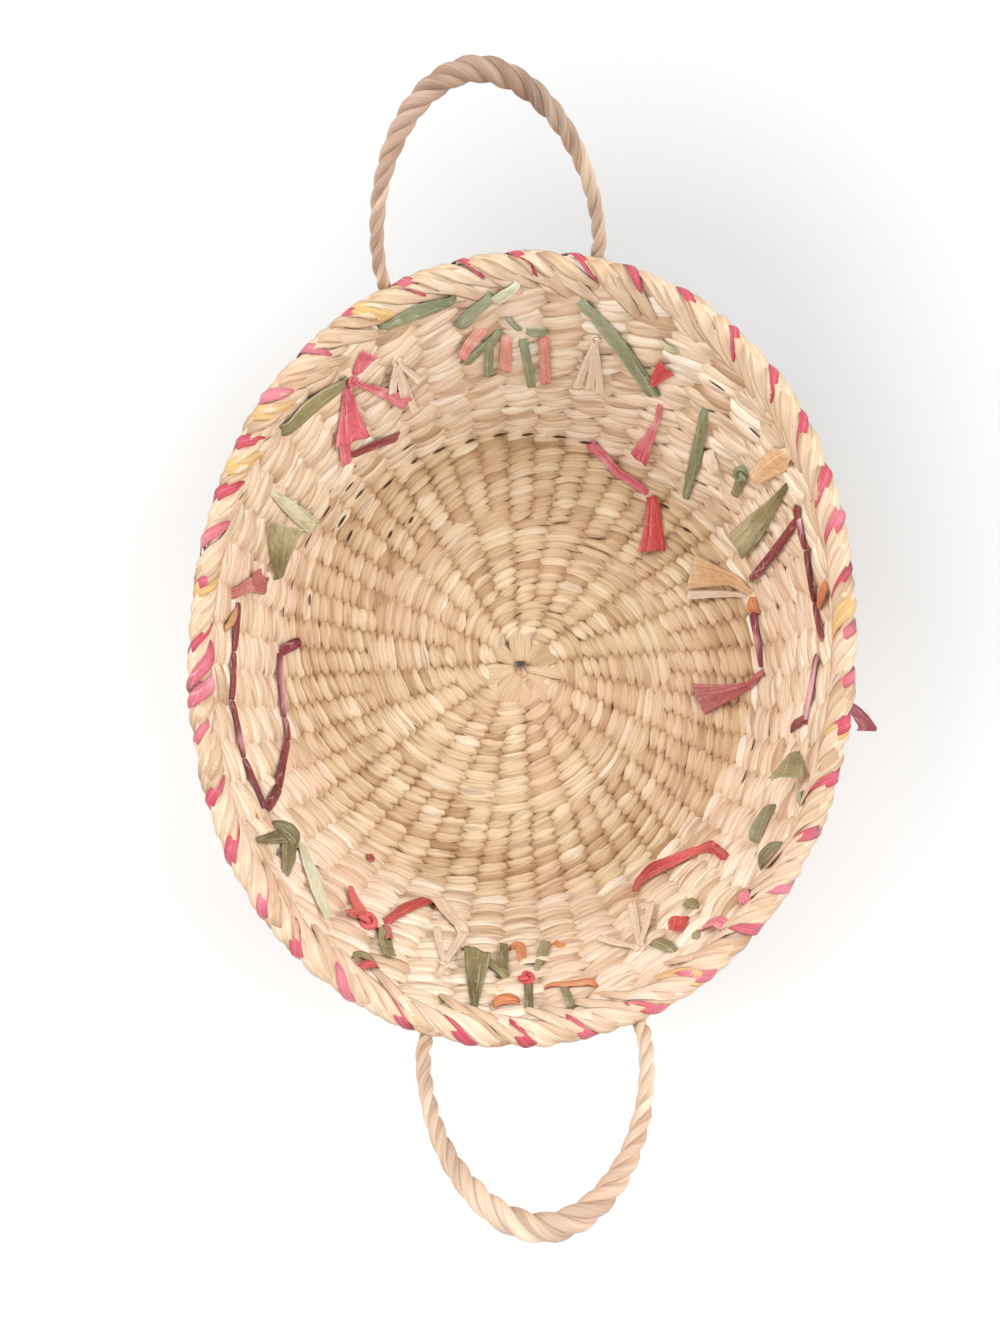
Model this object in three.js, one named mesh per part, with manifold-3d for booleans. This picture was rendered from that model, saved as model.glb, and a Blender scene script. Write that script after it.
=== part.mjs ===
// Raffia basket: a round twined floor, a flaring oval wall, a whipped rim and two rope handles.
// Millimetres, +Z up. The underside of the floor lies on Z = 0 and the handles are at +Y and -Y.
// Angles are in degrees, clockwise from +Y seen from above.
import * as THREE from 'three';
import { mergeVertices } from 'three/addons/utils/BufferGeometryUtils.js';
import Module from 'manifold-3d';

const wasm = await Module();
wasm.setup();

// Floor and wall
const FLOOR_RADIUS = 122;
const CORNER_RADIUS = 10;
const WALL_SLANT = 119;
const END_FOOT_LEAN = 11;
const END_RIM_LEAN = 23;
const SIDE_FOOT_LEAN = 15;
const SIDE_RIM_LEAN = -11;
const MOUTH_SKEW = 0.026;

// Weave layers: two faces of weft with the stakes between them
const WEFT_THICKNESS = 1.9;
const STAKE_THICKNESS = 1.6;
const LAYER_GAP = 0.6;
const STAKE_COUNT = 48;
const STAKE_WIDTH = 3;
const HUB_RADIUS = 12;
const FIRST_SPLIT = 35;
const SECOND_SPLIT = 80;
const SPLIT_RUN = 14;

// Rim: a core of turned-down stake ends with two strands whipped over it
const CORE_HALF_THICKNESS = 2.2;
const CORE_HEIGHT = 9;
const CORE_CROWN = 0.8;
const WRAP_THICKNESS = 0.6;
const WRAP_GAP = 0.55;
const WRAP_TURNS = 40;
const STRAW_WRAP_WIDTH = 11;
const PINK_WRAP_WIDTH = 6.5;

// Rope handles
const LEG_RADIUS = 2.9;
const GRIP_RADIUS = 4.9;
const LEG_FOOT = 36;
const LEG_GAP = 0.35;
const PIVOT_RISE = 4.5;
const PIVOT_GAP = 0.4;
const ARCH_HEIGHT = 73;
const ARCH_SQUARENESS = 1.9;
const ARCH_STEPS = 20;
const ROPE_SIDES = 8;
const REST_LEAN = 40;

// Lashings and embroidery
const LASH_UP = 60;
const LASH_RADIUS = 1;
const LASH_HOLE_RADIUS = 1.7;
const LASH_TAILS = [[-4, 20], [1, 24], [5, 18]];
const LASH_TAIL_WIDTHS = [1.2, 2.6];
const KNOT_RADIUS = 2.8;
const STRIP_THICKNESS = 0.8;
const STRIP_GAP = 0.6;
const STRIP_STEP = 11;
const FLOWER_RADIUS = 15;
const FLOWER_WAIST = 6;
const FLOWER_EYE = 2.5;
const FLOWER_PETALS = 6;

const COLOUR = {
  straw: 0xe3c793,
  strawShade: 0xd2ad85,
  stake: 0xc9a878,
  rope: 0xd9bd92,
  whipStraw: 0xe6c27a,
  pink: 0xd8556f,
  red: 0xd2504a,
  crimson: 0xa52a4a,
  maroon: 0x8a2f52,
  orange: 0xd9824a,
  green: 0x7f9763,
  olive: 0x8b8655,
  paleGreen: 0xa9b98a,
  natural: 0xe8cfa8,
};

const rad = THREE.MathUtils.degToRad;
const STATION_STEP = 360 / STAKE_COUNT;
const HALF_WEAVE = WEFT_THICKNESS + LAYER_GAP + STAKE_THICKNESS / 2;
const WRAP_BUILD = WRAP_GAP + WRAP_THICKNESS;
const CORE_TOP = WALL_SLANT - WRAP_BUILD - CORE_CROWN;
const CORE_FOOT = CORE_TOP - CORE_HEIGHT;
const WOVEN_TOP = CORE_FOOT - CORE_CROWN - WRAP_BUILD;
const WOVEN_STATIONS = [0, 1 / 3, 2 / 3, 1].map((share) => share * WOVEN_TOP);
const LEG_OFFSET = CORE_HALF_THICKNESS + WRAP_BUILD + LEG_GAP + LEG_RADIUS;

// The wall as a surface

function polar(angle, radius, z) {
  return new THREE.Vector3(radius * Math.sin(rad(angle)), radius * Math.cos(rad(angle)), z);
}

// Outward lean of the wall at its foot and at its rim: more at the handle ends than at the sides.
function leans(angle) {
  const end = Math.cos(rad(angle)) ** 2;
  return {
    foot: rad(SIDE_FOOT_LEAN + (END_FOOT_LEAN - SIDE_FOOT_LEAN) * end),
    rim: rad(SIDE_RIM_LEAN + (END_RIM_LEAN - SIDE_RIM_LEAN) * end),
  };
}

// A point of the wall, `up` along its slope from the foot and `inward` of its middle surface.
function wallPoint(angle, up, inward) {
  const { foot, rim } = leans(angle);
  const halfTurn = ((rim - foot) * up) / WALL_SLANT / 2;
  const chord = up * (Math.abs(halfTurn) > 1e-9 ? Math.sin(halfTurn) / halfTurn : 1);
  const lean = foot + 2 * halfTurn;
  const plainRadius = FLOOR_RADIUS + CORNER_RADIUS * Math.cos(foot) + chord * Math.sin(foot + halfTurn);
  const skew = 1 + (MOUTH_SKEW * Math.sin(2 * rad(angle)) * up) / WALL_SLANT;
  const z = HALF_WEAVE + CORNER_RADIUS * (1 - Math.sin(foot)) + chord * Math.cos(foot + halfTurn);
  return polar(angle, plainRadius * skew - inward * Math.cos(lean), z + inward * Math.sin(lean));
}

// A point of the rounded corner between floor (turn 0) and the foot of the wall (turn 1).
function cornerPoint(angle, turn, inward) {
  const lean = Math.PI / 2 - turn * (Math.PI / 2 - leans(angle).foot);
  const reach = CORNER_RADIUS - inward;
  const z = HALF_WEAVE + CORNER_RADIUS - reach * Math.sin(lean);
  return polar(angle, FLOOR_RADIUS + reach * Math.cos(lean), z);
}

// The flat facets that the woven faces are made of, so that trim lies evenly on them.
function facetPoint(angle, up, inward) {
  const column = Math.floor(angle / STATION_STEP);
  const across = angle / STATION_STEP - column;
  const step = WOVEN_STATIONS[1];
  const row = Math.min(Math.floor(up / step), WOVEN_STATIONS.length - 2);
  const along = up / step - row;
  const corner = (c, r) => wallPoint((column + c) * STATION_STEP, (row + r) * step, inward);
  const low = corner(0, 0).lerp(corner(1, 0), across);
  const high = corner(0, 1).lerp(corner(1, 1), across);
  return low.lerp(high, along);
}

// Closed bodies from rows of points

function signedVolume(positions, index) {
  const a = new THREE.Vector3();
  const b = new THREE.Vector3();
  const c = new THREE.Vector3();
  let sum = 0;
  for (let i = 0; i < index.length; i += 3) {
    a.fromArray(positions, index[i] * 3);
    b.fromArray(positions, index[i + 1] * 3);
    c.fromArray(positions, index[i + 2] * 3);
    sum += a.dot(b.cross(c));
  }
  return sum;
}

function bodyFrom(positions, index) {
  const facing = index.slice();
  if (signedVolume(positions, index) < 0) facing.reverse();
  const geometry = new THREE.BufferGeometry();
  geometry.setAttribute('position', new THREE.Float32BufferAttribute(positions, 3));
  geometry.setIndex(facing);
  return geometry;
}

// Skins a list of equal rings. A closed list joins its last ring to its first, an open one is capped.
function loft(rings, closed = false) {
  const sides = rings[0].length;
  const positions = rings.flat().flatMap((p) => p.toArray());
  const index = [];
  const spans = closed ? rings.length : rings.length - 1;
  for (let i = 0; i < spans; i += 1) {
    const here = i * sides;
    const next = ((i + 1) % rings.length) * sides;
    for (let j = 0; j < sides; j += 1) {
      const k = (j + 1) % sides;
      index.push(here + j, here + k, next + k, here + j, next + k, next + j);
    }
  }
  if (!closed) {
    const last = (rings.length - 1) * sides;
    for (let j = 1; j < sides - 1; j += 1) {
      index.push(0, j + 1, j);
      index.push(last, last + j, last + j + 1);
    }
  }
  return bodyFrom(positions, index);
}

function circle(centre, u, v, radius, sides) {
  return Array.from({ length: sides }, (_, i) => {
    const a = (2 * Math.PI * i) / sides;
    return centre.clone().addScaledVector(u, radius * Math.cos(a)).addScaledVector(v, radius * Math.sin(a));
  });
}

// A round strand through points that lie in the plane square to `normal`.
function tube(points, normal, radius, sides) {
  return loft(
    points.map((point, i) => {
      const before = points[Math.max(i - 1, 0)];
      const after = points[Math.min(i + 1, points.length - 1)];
      const across = after.clone().sub(before).cross(normal).normalize();
      return circle(point, normal, across, radius, sides);
    }),
  );
}

// Value at `share` of the way along a list of evenly spaced values.
function valueAlong(values, share) {
  const spot = share * (values.length - 1);
  const before = Math.min(Math.floor(spot), values.length - 2);
  return THREE.MathUtils.lerp(values[before], values[before + 1], spot - before);
}

function toSolid(geometry) {
  const plain = new THREE.BufferGeometry();
  plain.setAttribute('position', geometry.getAttribute('position'));
  plain.setIndex(geometry.index);
  const merged = mergeVertices(plain, 1e-4);
  return new wasm.Manifold(
    new wasm.Mesh({
      numProp: 3,
      vertProperties: merged.attributes.position.array,
      triVerts: new Uint32Array(merged.index.array),
    }),
  );
}

function toGeometry(solid) {
  const data = solid.getMesh();
  const geometry = new THREE.BufferGeometry();
  geometry.setAttribute('position', new THREE.Float32BufferAttribute(data.vertProperties, 3));
  geometry.setIndex(Array.from(data.triVerts));
  return geometry;
}

const basket = new THREE.Group();
basket.name = 'raffia_basket';

function add(name, geometry, colour) {
  const mesh = new THREE.Mesh(geometry, new THREE.MeshStandardMaterial({ color: colour, roughness: 0.8 }));
  mesh.name = name;
  basket.add(mesh);
}

// Floor faces

function floorDisc(bottom) {
  const ring = (z) =>
    Array.from({ length: STAKE_COUNT }, (_, k) => polar(k * STATION_STEP, FLOOR_RADIUS - LAYER_GAP, z));
  return loft([ring(bottom), ring(bottom + WEFT_THICKNESS)]);
}

add('floor_underside_weft', floorDisc(0), COLOUR.strawShade);
add('floor_inside_weft', floorDisc(2 * HALF_WEAVE - WEFT_THICKNESS), COLOUR.straw);

// Wall faces, with holes for the lashings

function wallColumn(angle, inward) {
  const corner = [0, 0.5].map((turn) => cornerPoint(angle, turn, inward));
  return corner.concat(WOVEN_STATIONS.map((up) => wallPoint(angle, up, inward)));
}

function wallFace(outerInward, innerInward) {
  const rings = Array.from({ length: STAKE_COUNT }, (_, k) => {
    const angle = k * STATION_STEP;
    return wallColumn(angle, outerInward).concat(wallColumn(angle, innerInward).reverse());
  });
  return loft(rings, true);
}

// Each leg of a rope: where it passes the rim, and how far either side of it the lashing goes through.
const LEGS = {
  back_left: { angle: 342.5, lashHalf: 3.2 },
  back_right: { angle: 15, lashHalf: 2.1 },
  front_right: { angle: 166.7, lashHalf: 3.75 },
  front_left: { angle: 196.7, lashHalf: 3.75 },
};

// Tangent frame of the wall: round (clockwise), up the slope, and inward.
function wallFrame(angle, up, inward) {
  const origin = facetPoint(angle, up, inward);
  const round = facetPoint(angle + 1, up, inward).sub(facetPoint(angle - 1, up, inward)).normalize();
  const slope = facetPoint(angle, up + 1, inward).sub(facetPoint(angle, up - 1, inward)).normalize();
  const inside = new THREE.Vector3().crossVectors(round, slope).normalize();
  if (inside.dot(new THREE.Vector3(origin.x, origin.y, 0)) > 0) inside.negate();
  return { origin, round, slope, inside };
}

function lashHole(angle) {
  const { origin, round, slope, inside } = wallFrame(angle, LASH_UP, 0);
  const ends = [-2 * HALF_WEAVE, 2 * HALF_WEAVE].map((d) => origin.clone().addScaledVector(inside, d));
  return loft(ends.map((centre) => circle(centre, round, slope, LASH_HOLE_RADIUS, 6)));
}

const holes = Object.values(LEGS).flatMap(({ angle, lashHalf }) =>
  [-lashHalf, lashHalf].map((side) => toSolid(lashHole(angle + side))),
);

function pierced(geometry) {
  return toGeometry(holes.reduce((solid, hole) => solid.subtract(hole), toSolid(geometry)));
}

const INNER_FACE = HALF_WEAVE - WEFT_THICKNESS;
add('wall_outside_weft', pierced(wallFace(-HALF_WEAVE, -INNER_FACE)), COLOUR.strawShade);
add('wall_inside_weft', pierced(wallFace(INNER_FACE, HALF_WEAVE)), COLOUR.straw);

// Stake frame: spokes from a hub, each splitting in two twice, then turning up inside the wall

function bar(path, width) {
  const half = STAKE_THICKNESS / 2;
  return loft(
    path.map(({ at, side }) =>
      [[-1, -half], [1, -half], [1, half], [-1, half]].map(([w, inward]) =>
        at(inward).addScaledVector(side, (w * width) / 2),
      ),
    ),
  );
}

// A flat spoke of the floor through stops of [angle, radius].
function spoke(stops, width) {
  const path = stops.map(([angle, radius]) => ({
    at: (inward) => polar(angle, radius, HALF_WEAVE + inward),
    side: polar(angle + 90, 1, 0),
  }));
  return bar(path, width);
}

// One stake: it leaves its pair at the second split, runs to the corner and up between the two faces.
function stake(pairAngle, angle) {
  const half = STATION_STEP / 2;
  const onFacet = (point) => ({
    at: (inward) => point(angle - half, inward).lerp(point(angle + half, inward), 0.5),
    side: point(angle + half, 0).sub(point(angle - half, 0)).normalize(),
  });
  const start = {
    at: (inward) => polar(pairAngle, SECOND_SPLIT - 2, HALF_WEAVE + inward),
    side: polar(pairAngle + 90, 1, 0),
  };
  const stops = [
    (a, inward) => polar(a, SECOND_SPLIT + SPLIT_RUN, HALF_WEAVE + inward),
    (a, inward) => cornerPoint(a, 0, inward),
    (a, inward) => cornerPoint(a, 0.5, inward),
    ...WOVEN_STATIONS.slice(0, -1).map((up) => (a, inward) => wallPoint(a, up, inward)),
    (a, inward) => wallPoint(a, WOVEN_TOP - 1, inward),
  ];
  return bar([start, ...stops.map(onFacet)], STAKE_WIDTH);
}

function stakeFrame() {
  const bundles = STAKE_COUNT / 4;
  const hubRing = (inward) =>
    Array.from({ length: bundles }, (_, i) => polar((360 / bundles) * i, HUB_RADIUS, HALF_WEAVE + inward));
  const pieces = [loft([hubRing(-STAKE_THICKNESS / 2), hubRing(STAKE_THICKNESS / 2)])];
  for (let i = 0; i < bundles; i += 1) {
    const bundle = (360 / bundles) * (i + 0.5);
    pieces.push(spoke([[bundle, HUB_RADIUS / 2], [bundle, FIRST_SPLIT]], 2 * STAKE_WIDTH));
    for (const pair of [bundle - STATION_STEP, bundle + STATION_STEP]) {
      const stops = [[bundle, FIRST_SPLIT - 2], [pair, FIRST_SPLIT + SPLIT_RUN], [pair, SECOND_SPLIT]];
      pieces.push(spoke(stops, 1.4 * STAKE_WIDTH));
      pieces.push(stake(pair, pair - STATION_STEP / 2), stake(pair, pair + STATION_STEP / 2));
    }
  }
  return toGeometry(wasm.Manifold.union(pieces.map(toSolid)));
}

add('stake_frame', stakeFrame(), COLOUR.stake);

// Rim core and the two whipping strands, each one unbroken ribbon wound round the core

const CORE_OUTLINE = [
  [0, CORE_TOP + CORE_CROWN],
  [CORE_HALF_THICKNESS, CORE_TOP],
  [CORE_HALF_THICKNESS, CORE_FOOT],
  [0, CORE_FOOT - CORE_CROWN],
  [-CORE_HALF_THICKNESS, CORE_FOOT],
  [-CORE_HALF_THICKNESS, CORE_TOP],
].map(([inward, up]) => new THREE.Vector2(inward, up));

// The core's outline moved outwards by one distance on every edge.
function coreOutlineAt(distance) {
  const count = CORE_OUTLINE.length;
  return CORE_OUTLINE.map((corner, i) => {
    const before = corner.clone().sub(CORE_OUTLINE[(i + count - 1) % count]).normalize();
    const after = CORE_OUTLINE[(i + 1) % count].clone().sub(corner).normalize();
    const out = new THREE.Vector2(-before.y - after.y, before.x + after.x).normalize();
    const square = -before.y * out.x + before.x * out.y;
    return corner.clone().addScaledVector(out, distance / square);
  });
}

const coreRings = Array.from({ length: STAKE_COUNT }, (_, k) =>
  CORE_OUTLINE.map(({ x, y }) => wallPoint(k * STATION_STEP, y, x)),
);
add('rim_core', loft(coreRings, true), COLOUR.stake);

function whipping(startAngle, width) {
  const under = coreOutlineAt(WRAP_GAP);
  const over = coreOutlineAt(WRAP_BUILD);
  const count = under.length;
  const lengths = under.map((p, i) => p.distanceTo(under[(i + 1) % count]));
  const turnLength = lengths.reduce((sum, l) => sum + l, 0);
  const rings = [];
  let travelled = 0;
  for (let i = 0; i < WRAP_TURNS * count - 2; i += 1) {
    const corner = i % count;
    const angle = startAngle + ((travelled / turnLength) * 360) / WRAP_TURNS;
    const centre = wallPoint(angle, CORE_TOP, 0);
    const reach = THREE.MathUtils.radToDeg(width / 2 / Math.hypot(centre.x, centre.y));
    rings.push(
      [[under, -reach], [under, reach], [over, reach], [over, -reach]].map(([outline, aside]) =>
        wallPoint(angle + aside, outline[corner].y, outline[corner].x),
      ),
    );
    travelled += lengths[corner];
  }
  return rings;
}

// Least distance between points of turns that are not neighbours along the strand.
function leastSelfGap(rings) {
  const perTurn = CORE_OUTLINE.length;
  let least = Infinity;
  for (let i = 0; i < rings.length; i += 1) {
    for (let j = i + perTurn - 1; j < rings.length; j += 1) {
      for (const p of rings[i]) {
        for (const q of rings[j]) least = Math.min(least, p.distanceTo(q));
      }
    }
  }
  return least;
}

for (const [name, start, width, colour] of [
  ['whipping_straw', 0, STRAW_WRAP_WIDTH, COLOUR.whipStraw],
  ['whipping_pink', 180 / WRAP_TURNS, PINK_WRAP_WIDTH, COLOUR.pink],
]) {
  const rings = whipping(start, width);
  console.log(`${name}: least gap to itself ${leastSelfGap(rings).toFixed(2)} mm`);
  add(name, loft(rings), colour);
}

// Rope handles: a swinging arch between two ball ends, and two legs fixed to the outside of the wall

function pivot(angle) {
  return wallPoint(angle, WALL_SLANT + PIVOT_RISE, -LEG_OFFSET);
}

// The plane of a leaning arch: across from one pivot to the other, and the way it rises.
function archPlane(left, right) {
  const middle = left.clone().lerp(right, 0.5);
  const across = right.clone().sub(left).normalize();
  const flat = new THREE.Vector3(across.y, -across.x, 0).normalize();
  if (flat.dot(middle) < 0) flat.negate();
  const upright = new THREE.Vector3().crossVectors(across, flat).normalize();
  if (upright.z < 0) upright.negate();
  const lean = rad(REST_LEAN);
  const rise = upright.multiplyScalar(Math.cos(lean)).addScaledVector(flat, Math.sin(lean));
  return { middle, across, rise };
}

function grip(leftAngle, rightAngle) {
  const left = pivot(leftAngle);
  const right = pivot(rightAngle);
  const { middle, across, rise } = archPlane(left, right);
  const normal = new THREE.Vector3().crossVectors(across, rise).normalize();
  const half = left.distanceTo(right) / 2;
  const power = 2 / ARCH_SQUARENESS;
  const squared = (value) => Math.sign(value) * Math.abs(value) ** power;
  const turns = Array.from({ length: ARCH_STEPS + 1 }, (_, i) => (Math.PI * i) / ARCH_STEPS);
  const centres = turns.map((turn, i) => {
    const sideways = -squared(Math.cos(turn)) * half;
    const height = i % ARCH_STEPS ? squared(Math.sin(turn)) * ARCH_HEIGHT : 0;
    return middle.clone().addScaledVector(across, sideways).addScaledVector(rise, height);
  });
  const rings = centres.map((centre, i) => {
    const atEnd = i % ARCH_STEPS === 0;
    const run = atEnd ? rise.clone() : centres[i + 1].clone().sub(centres[i - 1]).normalize();
    if (i === ARCH_STEPS) run.negate();
    const thick = LEG_RADIUS + (GRIP_RADIUS - LEG_RADIUS) * Math.sin(turns[i]) ** 2;
    return circle(centre, normal, run.cross(normal), thick, ROPE_SIDES);
  });
  const shrunk = (ring, end, turn) =>
    ring.map((point) =>
      point.clone().lerp(end, 1 - Math.cos(turn)).addScaledVector(rise, -LEG_RADIUS * Math.sin(turn)),
    );
  const roundedEnd = (end, ring) => [rad(75), rad(40)].map((turn) => shrunk(ring, end, turn));
  const first = roundedEnd(centres[0], rings[0]);
  const last = roundedEnd(centres[ARCH_STEPS], rings[ARCH_STEPS]).reverse();
  return loft([...first, ...rings, ...last]);
}

function leg(angle) {
  const top = WALL_SLANT + PIVOT_RISE - LEG_RADIUS - PIVOT_GAP;
  const round = polar(angle + 90, 1, 0);
  const stops = [0, 0.2, 0.4, 0.6, 0.8, 1].map((share) => LEG_FOOT + (top - LEG_FOOT) * share);
  return loft(
    stops.map((up) => {
      const centre = wallPoint(angle, up, -LEG_OFFSET);
      const inside = wallPoint(angle, up, 0).sub(centre).normalize();
      return circle(centre, round, inside, LEG_RADIUS, ROPE_SIDES);
    }),
  );
}

add('handle_back_grip', grip(LEGS.back_left.angle, LEGS.back_right.angle), COLOUR.rope);
add('handle_front_grip', grip(LEGS.front_left.angle, LEGS.front_right.angle), COLOUR.rope);
for (const [name, { angle }] of Object.entries(LEGS)) add(`leg_${name}`, leg(angle), COLOUR.rope);

// Lashings: natural raffia round each leg, through the wall on both sides of it, knotted inside

function lashing(angle, lashHalf) {
  const { round, inside, slope } = wallFrame(angle, LASH_UP, 0);
  const at = (aside, up, inward) =>
    facetPoint(angle, LASH_UP, 0)
      .addScaledVector(round, aside)
      .addScaledVector(slope, up)
      .addScaledVector(inside, inward);
  const through = (side, inward) => {
    const hole = wallFrame(angle + side * lashHalf, LASH_UP, 0);
    return hole.origin.addScaledVector(hole.inside, inward);
  };
  const spread = through(1, 0).distanceTo(through(-1, 0)) / 2;
  const outside = -(LEG_OFFSET + LEG_RADIUS + STRIP_GAP + LASH_RADIUS);
  const knotAt = HALF_WEAVE + STRIP_GAP + KNOT_RADIUS / 2;
  const shoulder = LEG_RADIUS + STRIP_GAP + LASH_RADIUS + LEG_GAP;
  const turn = (side) => [
    at(side, 0, knotAt),
    at(side * (spread - 2), 0, knotAt),
    through(side, HALF_WEAVE + 0.9),
    through(side, -HALF_WEAVE - 0.3),
    at(side * Math.max(shoulder, spread - 1.5), 0, -LEG_OFFSET),
    at(side * shoulder * 0.7, 0, outside + 1),
  ];
  const band = tube([...turn(-1), at(0, 0, outside), ...turn(1).reverse()], slope, LASH_RADIUS, 5);
  const knot = new THREE.IcosahedronGeometry(KNOT_RADIUS, 0);
  const flattened = new THREE.Vector3(1.5, 1.1, 0.5);
  knot.applyMatrix4(new THREE.Matrix4().makeBasis(round, slope, inside).scale(flattened));
  knot.translate(...at(0, 0, knotAt));
  knot.setIndex(Array.from({ length: knot.getAttribute('position').count }, (_, i) => i));
  const tails = LASH_TAILS.map(([aside, down]) =>
    loft(
      [0, 0.5, 1].map((share) => {
        const middle = at(aside * share, -down * share, knotAt);
        const half = valueAlong(LASH_TAIL_WIDTHS, share) / 2;
        const lift = STRIP_THICKNESS / 2;
        return [[-half, -lift], [half, -lift], [half, lift], [-half, lift]].map(([w, inward]) =>
          middle.clone().addScaledVector(round, w).addScaledVector(inside, inward),
        );
      }),
    ),
  );
  return toGeometry(wasm.Manifold.union([band, knot, ...tails].map(toSolid)));
}

for (const [name, { angle, lashHalf }] of Object.entries(LEGS)) {
  add(`lashing_${name}`, lashing(angle, lashHalf), COLOUR.natural);
}

// Embroidery on the inner wall: flat raffia strips along stops of [angle, share of the woven height]

function strip(stops, widths) {
  const low = HALF_WEAVE + STRIP_GAP;
  const spots = stops.map(([angle, share]) => new THREE.Vector2(angle, share * WOVEN_TOP));
  const path = [spots[0]];
  spots.slice(1).forEach((spot, i) => {
    const length = facetPoint(spots[i].x, spots[i].y, low).distanceTo(facetPoint(spot.x, spot.y, low));
    const parts = Math.max(2, Math.round(length / STRIP_STEP));
    for (let j = 1; j <= parts; j += 1) path.push(spots[i].clone().lerp(spot, j / parts));
  });
  const high = low + STRIP_THICKNESS;
  const rings = path.map((spot, i) => {
    const before = path[Math.max(i - 1, 0)];
    const after = path[Math.min(i + 1, path.length - 1)];
    const run = facetPoint(after.x, after.y, low).sub(facetPoint(before.x, before.y, low));
    const side = run.cross(wallFrame(spot.x, spot.y, low).inside).normalize();
    const half = valueAlong(widths, i / (path.length - 1)) / 2;
    return [[-half, low], [half, low], [half, high], [-half, high]].map(([aside, inward]) =>
      facetPoint(spot.x, spot.y, inward).addScaledVector(side, aside),
    );
  });
  return loft(rings);
}

for (const [name, colour, stops, widths] of [
  ['leaf_back_low', 'green', [[340, 0.91], [353, 0.91]], [2, 6, 2]],
  ['leaf_back_high', 'green', [[-8, 0.8], [2, 0.94]], [2, 4.5, 2]],
  ['petal_back_red', 'red', [[1, 0.71], [1, 0.51]], [4, 5]],
  ['petal_back_green', 'green', [[5.5, 0.7], [6, 0.39]], [3.5, 3.5]],
  ['leaf_back_right', 'green', [[13, 0.93], [32, 0.5]], [2, 5.5, 2]],
  ['tail_right_pink', 'pink', [[33, 0.44], [33, 0.05]], [3, 8]],
  ['leaf_right_high', 'green', [[42, 0.65], [48, 0.04]], [2, 5.5, 2]],
  ['leaf_right_olive', 'olive', [[64, 0.78], [66, 0.12]], [2.5, 9, 2.5]],
  ['stitch_right_slant', 'maroon', [[68.5, 0.81], [74, 0.06]], [3.5, 3.5]],
  ['stitch_right_long', 'maroon', [[72, 0.8], [86, 0.72], [93, 0.77], [107, 0.63]], [3, 3]],
  ['fan_right_olive', 'olive', [[115, 0.59], [121, 0.72]], [3, 10]],
  ['ribbon_front_right', 'red', [[156, 0.21], [142, 0.23], [139, 0.52]], [4, 4]],
  ['petal_front_right', 'red', [[152, 0.65], [156, 0.83]], [4.5, 4]],
  ['fan_front_olive', 'olive', [[190.5, 0.57], [190.5, 0.93]], [11, 3]],
  ['petal_front_green', 'green', [[182.5, 0.76], [182, 0.94]], [4, 4]],
  ['petal_front_orange', 'orange', [[187.5, 0.93], [184, 0.9]], [5, 4]],
  ['petal_front_left', 'red', [[209, 0.55], [204, 0.16]], [4, 4.5]],
  ['leaf_front_left', 'green', [[209, 0.63], [207, 0.83]], [4, 4]],
  ['leaf_left_olive', 'olive', [[236, 0.91], [234, 0.63]], [3, 7, 3]],
  ['stitch_left_high', 'maroon', [[282, 0.61], [263, 0.64], [242, 0.62]], [3, 3]],
  ['stitch_left_low', 'maroon', [[243, 0.53], [254, 0.08], [276, 0.06]], [3, 3]],
  ['fold_left_crimson', 'crimson', [[284, 0.7], [290, 0.55], [289, 0.27]], [5, 5]],
  ['leaf_left_pale', 'paleGreen', [[305, 0.65], [306, 0.13]], [3, 6, 3]],
  ['petal_back_left', 'red', [[333, 0.78], [337.5, 0.55]], [3, 6]],
  ['fan_back_left', 'pink', [[329.5, 0.78], [321, 0.36]], [3, 12]],
  ['leaf_back_left', 'olive', [[328.5, 0.84], [315, 0.92]], [2, 5.5, 2]],
]) {
  add(name, strip(stops, widths), COLOUR[colour]);
}

// Embroidered flowers on the outer wall, one plate of petals each

function flower(angle, share) {
  const centreUp = share * WOVEN_TOP;
  const centre = wallPoint(angle, centreUp, 0);
  const radius = Math.hypot(centre.x, centre.y);
  const turns = Array.from({ length: FLOWER_PETALS * 4 }, (_, i) => (Math.PI * i) / (FLOWER_PETALS * 2));
  const ring = (inward, reachAt) =>
    turns.map((turn) => {
      const aside = THREE.MathUtils.radToDeg((reachAt(turn) * Math.sin(turn)) / radius);
      return facetPoint(angle + aside, centreUp + reachAt(turn) * Math.cos(turn), inward);
    });
  const eye = () => FLOWER_EYE;
  const petals = (turn) =>
    FLOWER_RADIUS + (FLOWER_WAIST - FLOWER_RADIUS) * (0.5 - 0.5 * Math.cos(FLOWER_PETALS * turn));
  const back = -(HALF_WEAVE + STRIP_GAP);
  const front = back - STRIP_THICKNESS;
  return loft([ring(back, eye), ring(back, petals), ring(front, petals), ring(front - STRIP_THICKNESS, eye)]);
}

for (const [name, colour, angle, share] of [
  ['flower_back', 'red', 0.5, 0.62],
  ['flower_back_right', 'pink', 35, 0.55],
  ['flower_right', 'maroon', 85, 0.5],
  ['flower_front_right', 'red', 148, 0.6],
  ['flower_front', 'orange', 182, 0.62],
  ['flower_front_left', 'red', 214, 0.6],
  ['flower_left', 'maroon', 262, 0.5],
  ['flower_back_left', 'pink', 326, 0.6],
]) {
  add(name, flower(angle, share), COLOUR[colour]);
}

export default basket;
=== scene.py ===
# Raffia basket: twined straw, a whipped rim, rope handles and raffia embroidery, made around the frame.
# Lengths are in millimetres until they become points. Angles are degrees clockwise from +Y, seen from above.
import math

import bpy
import numpy as np
from mathutils import Matrix, Vector


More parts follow.
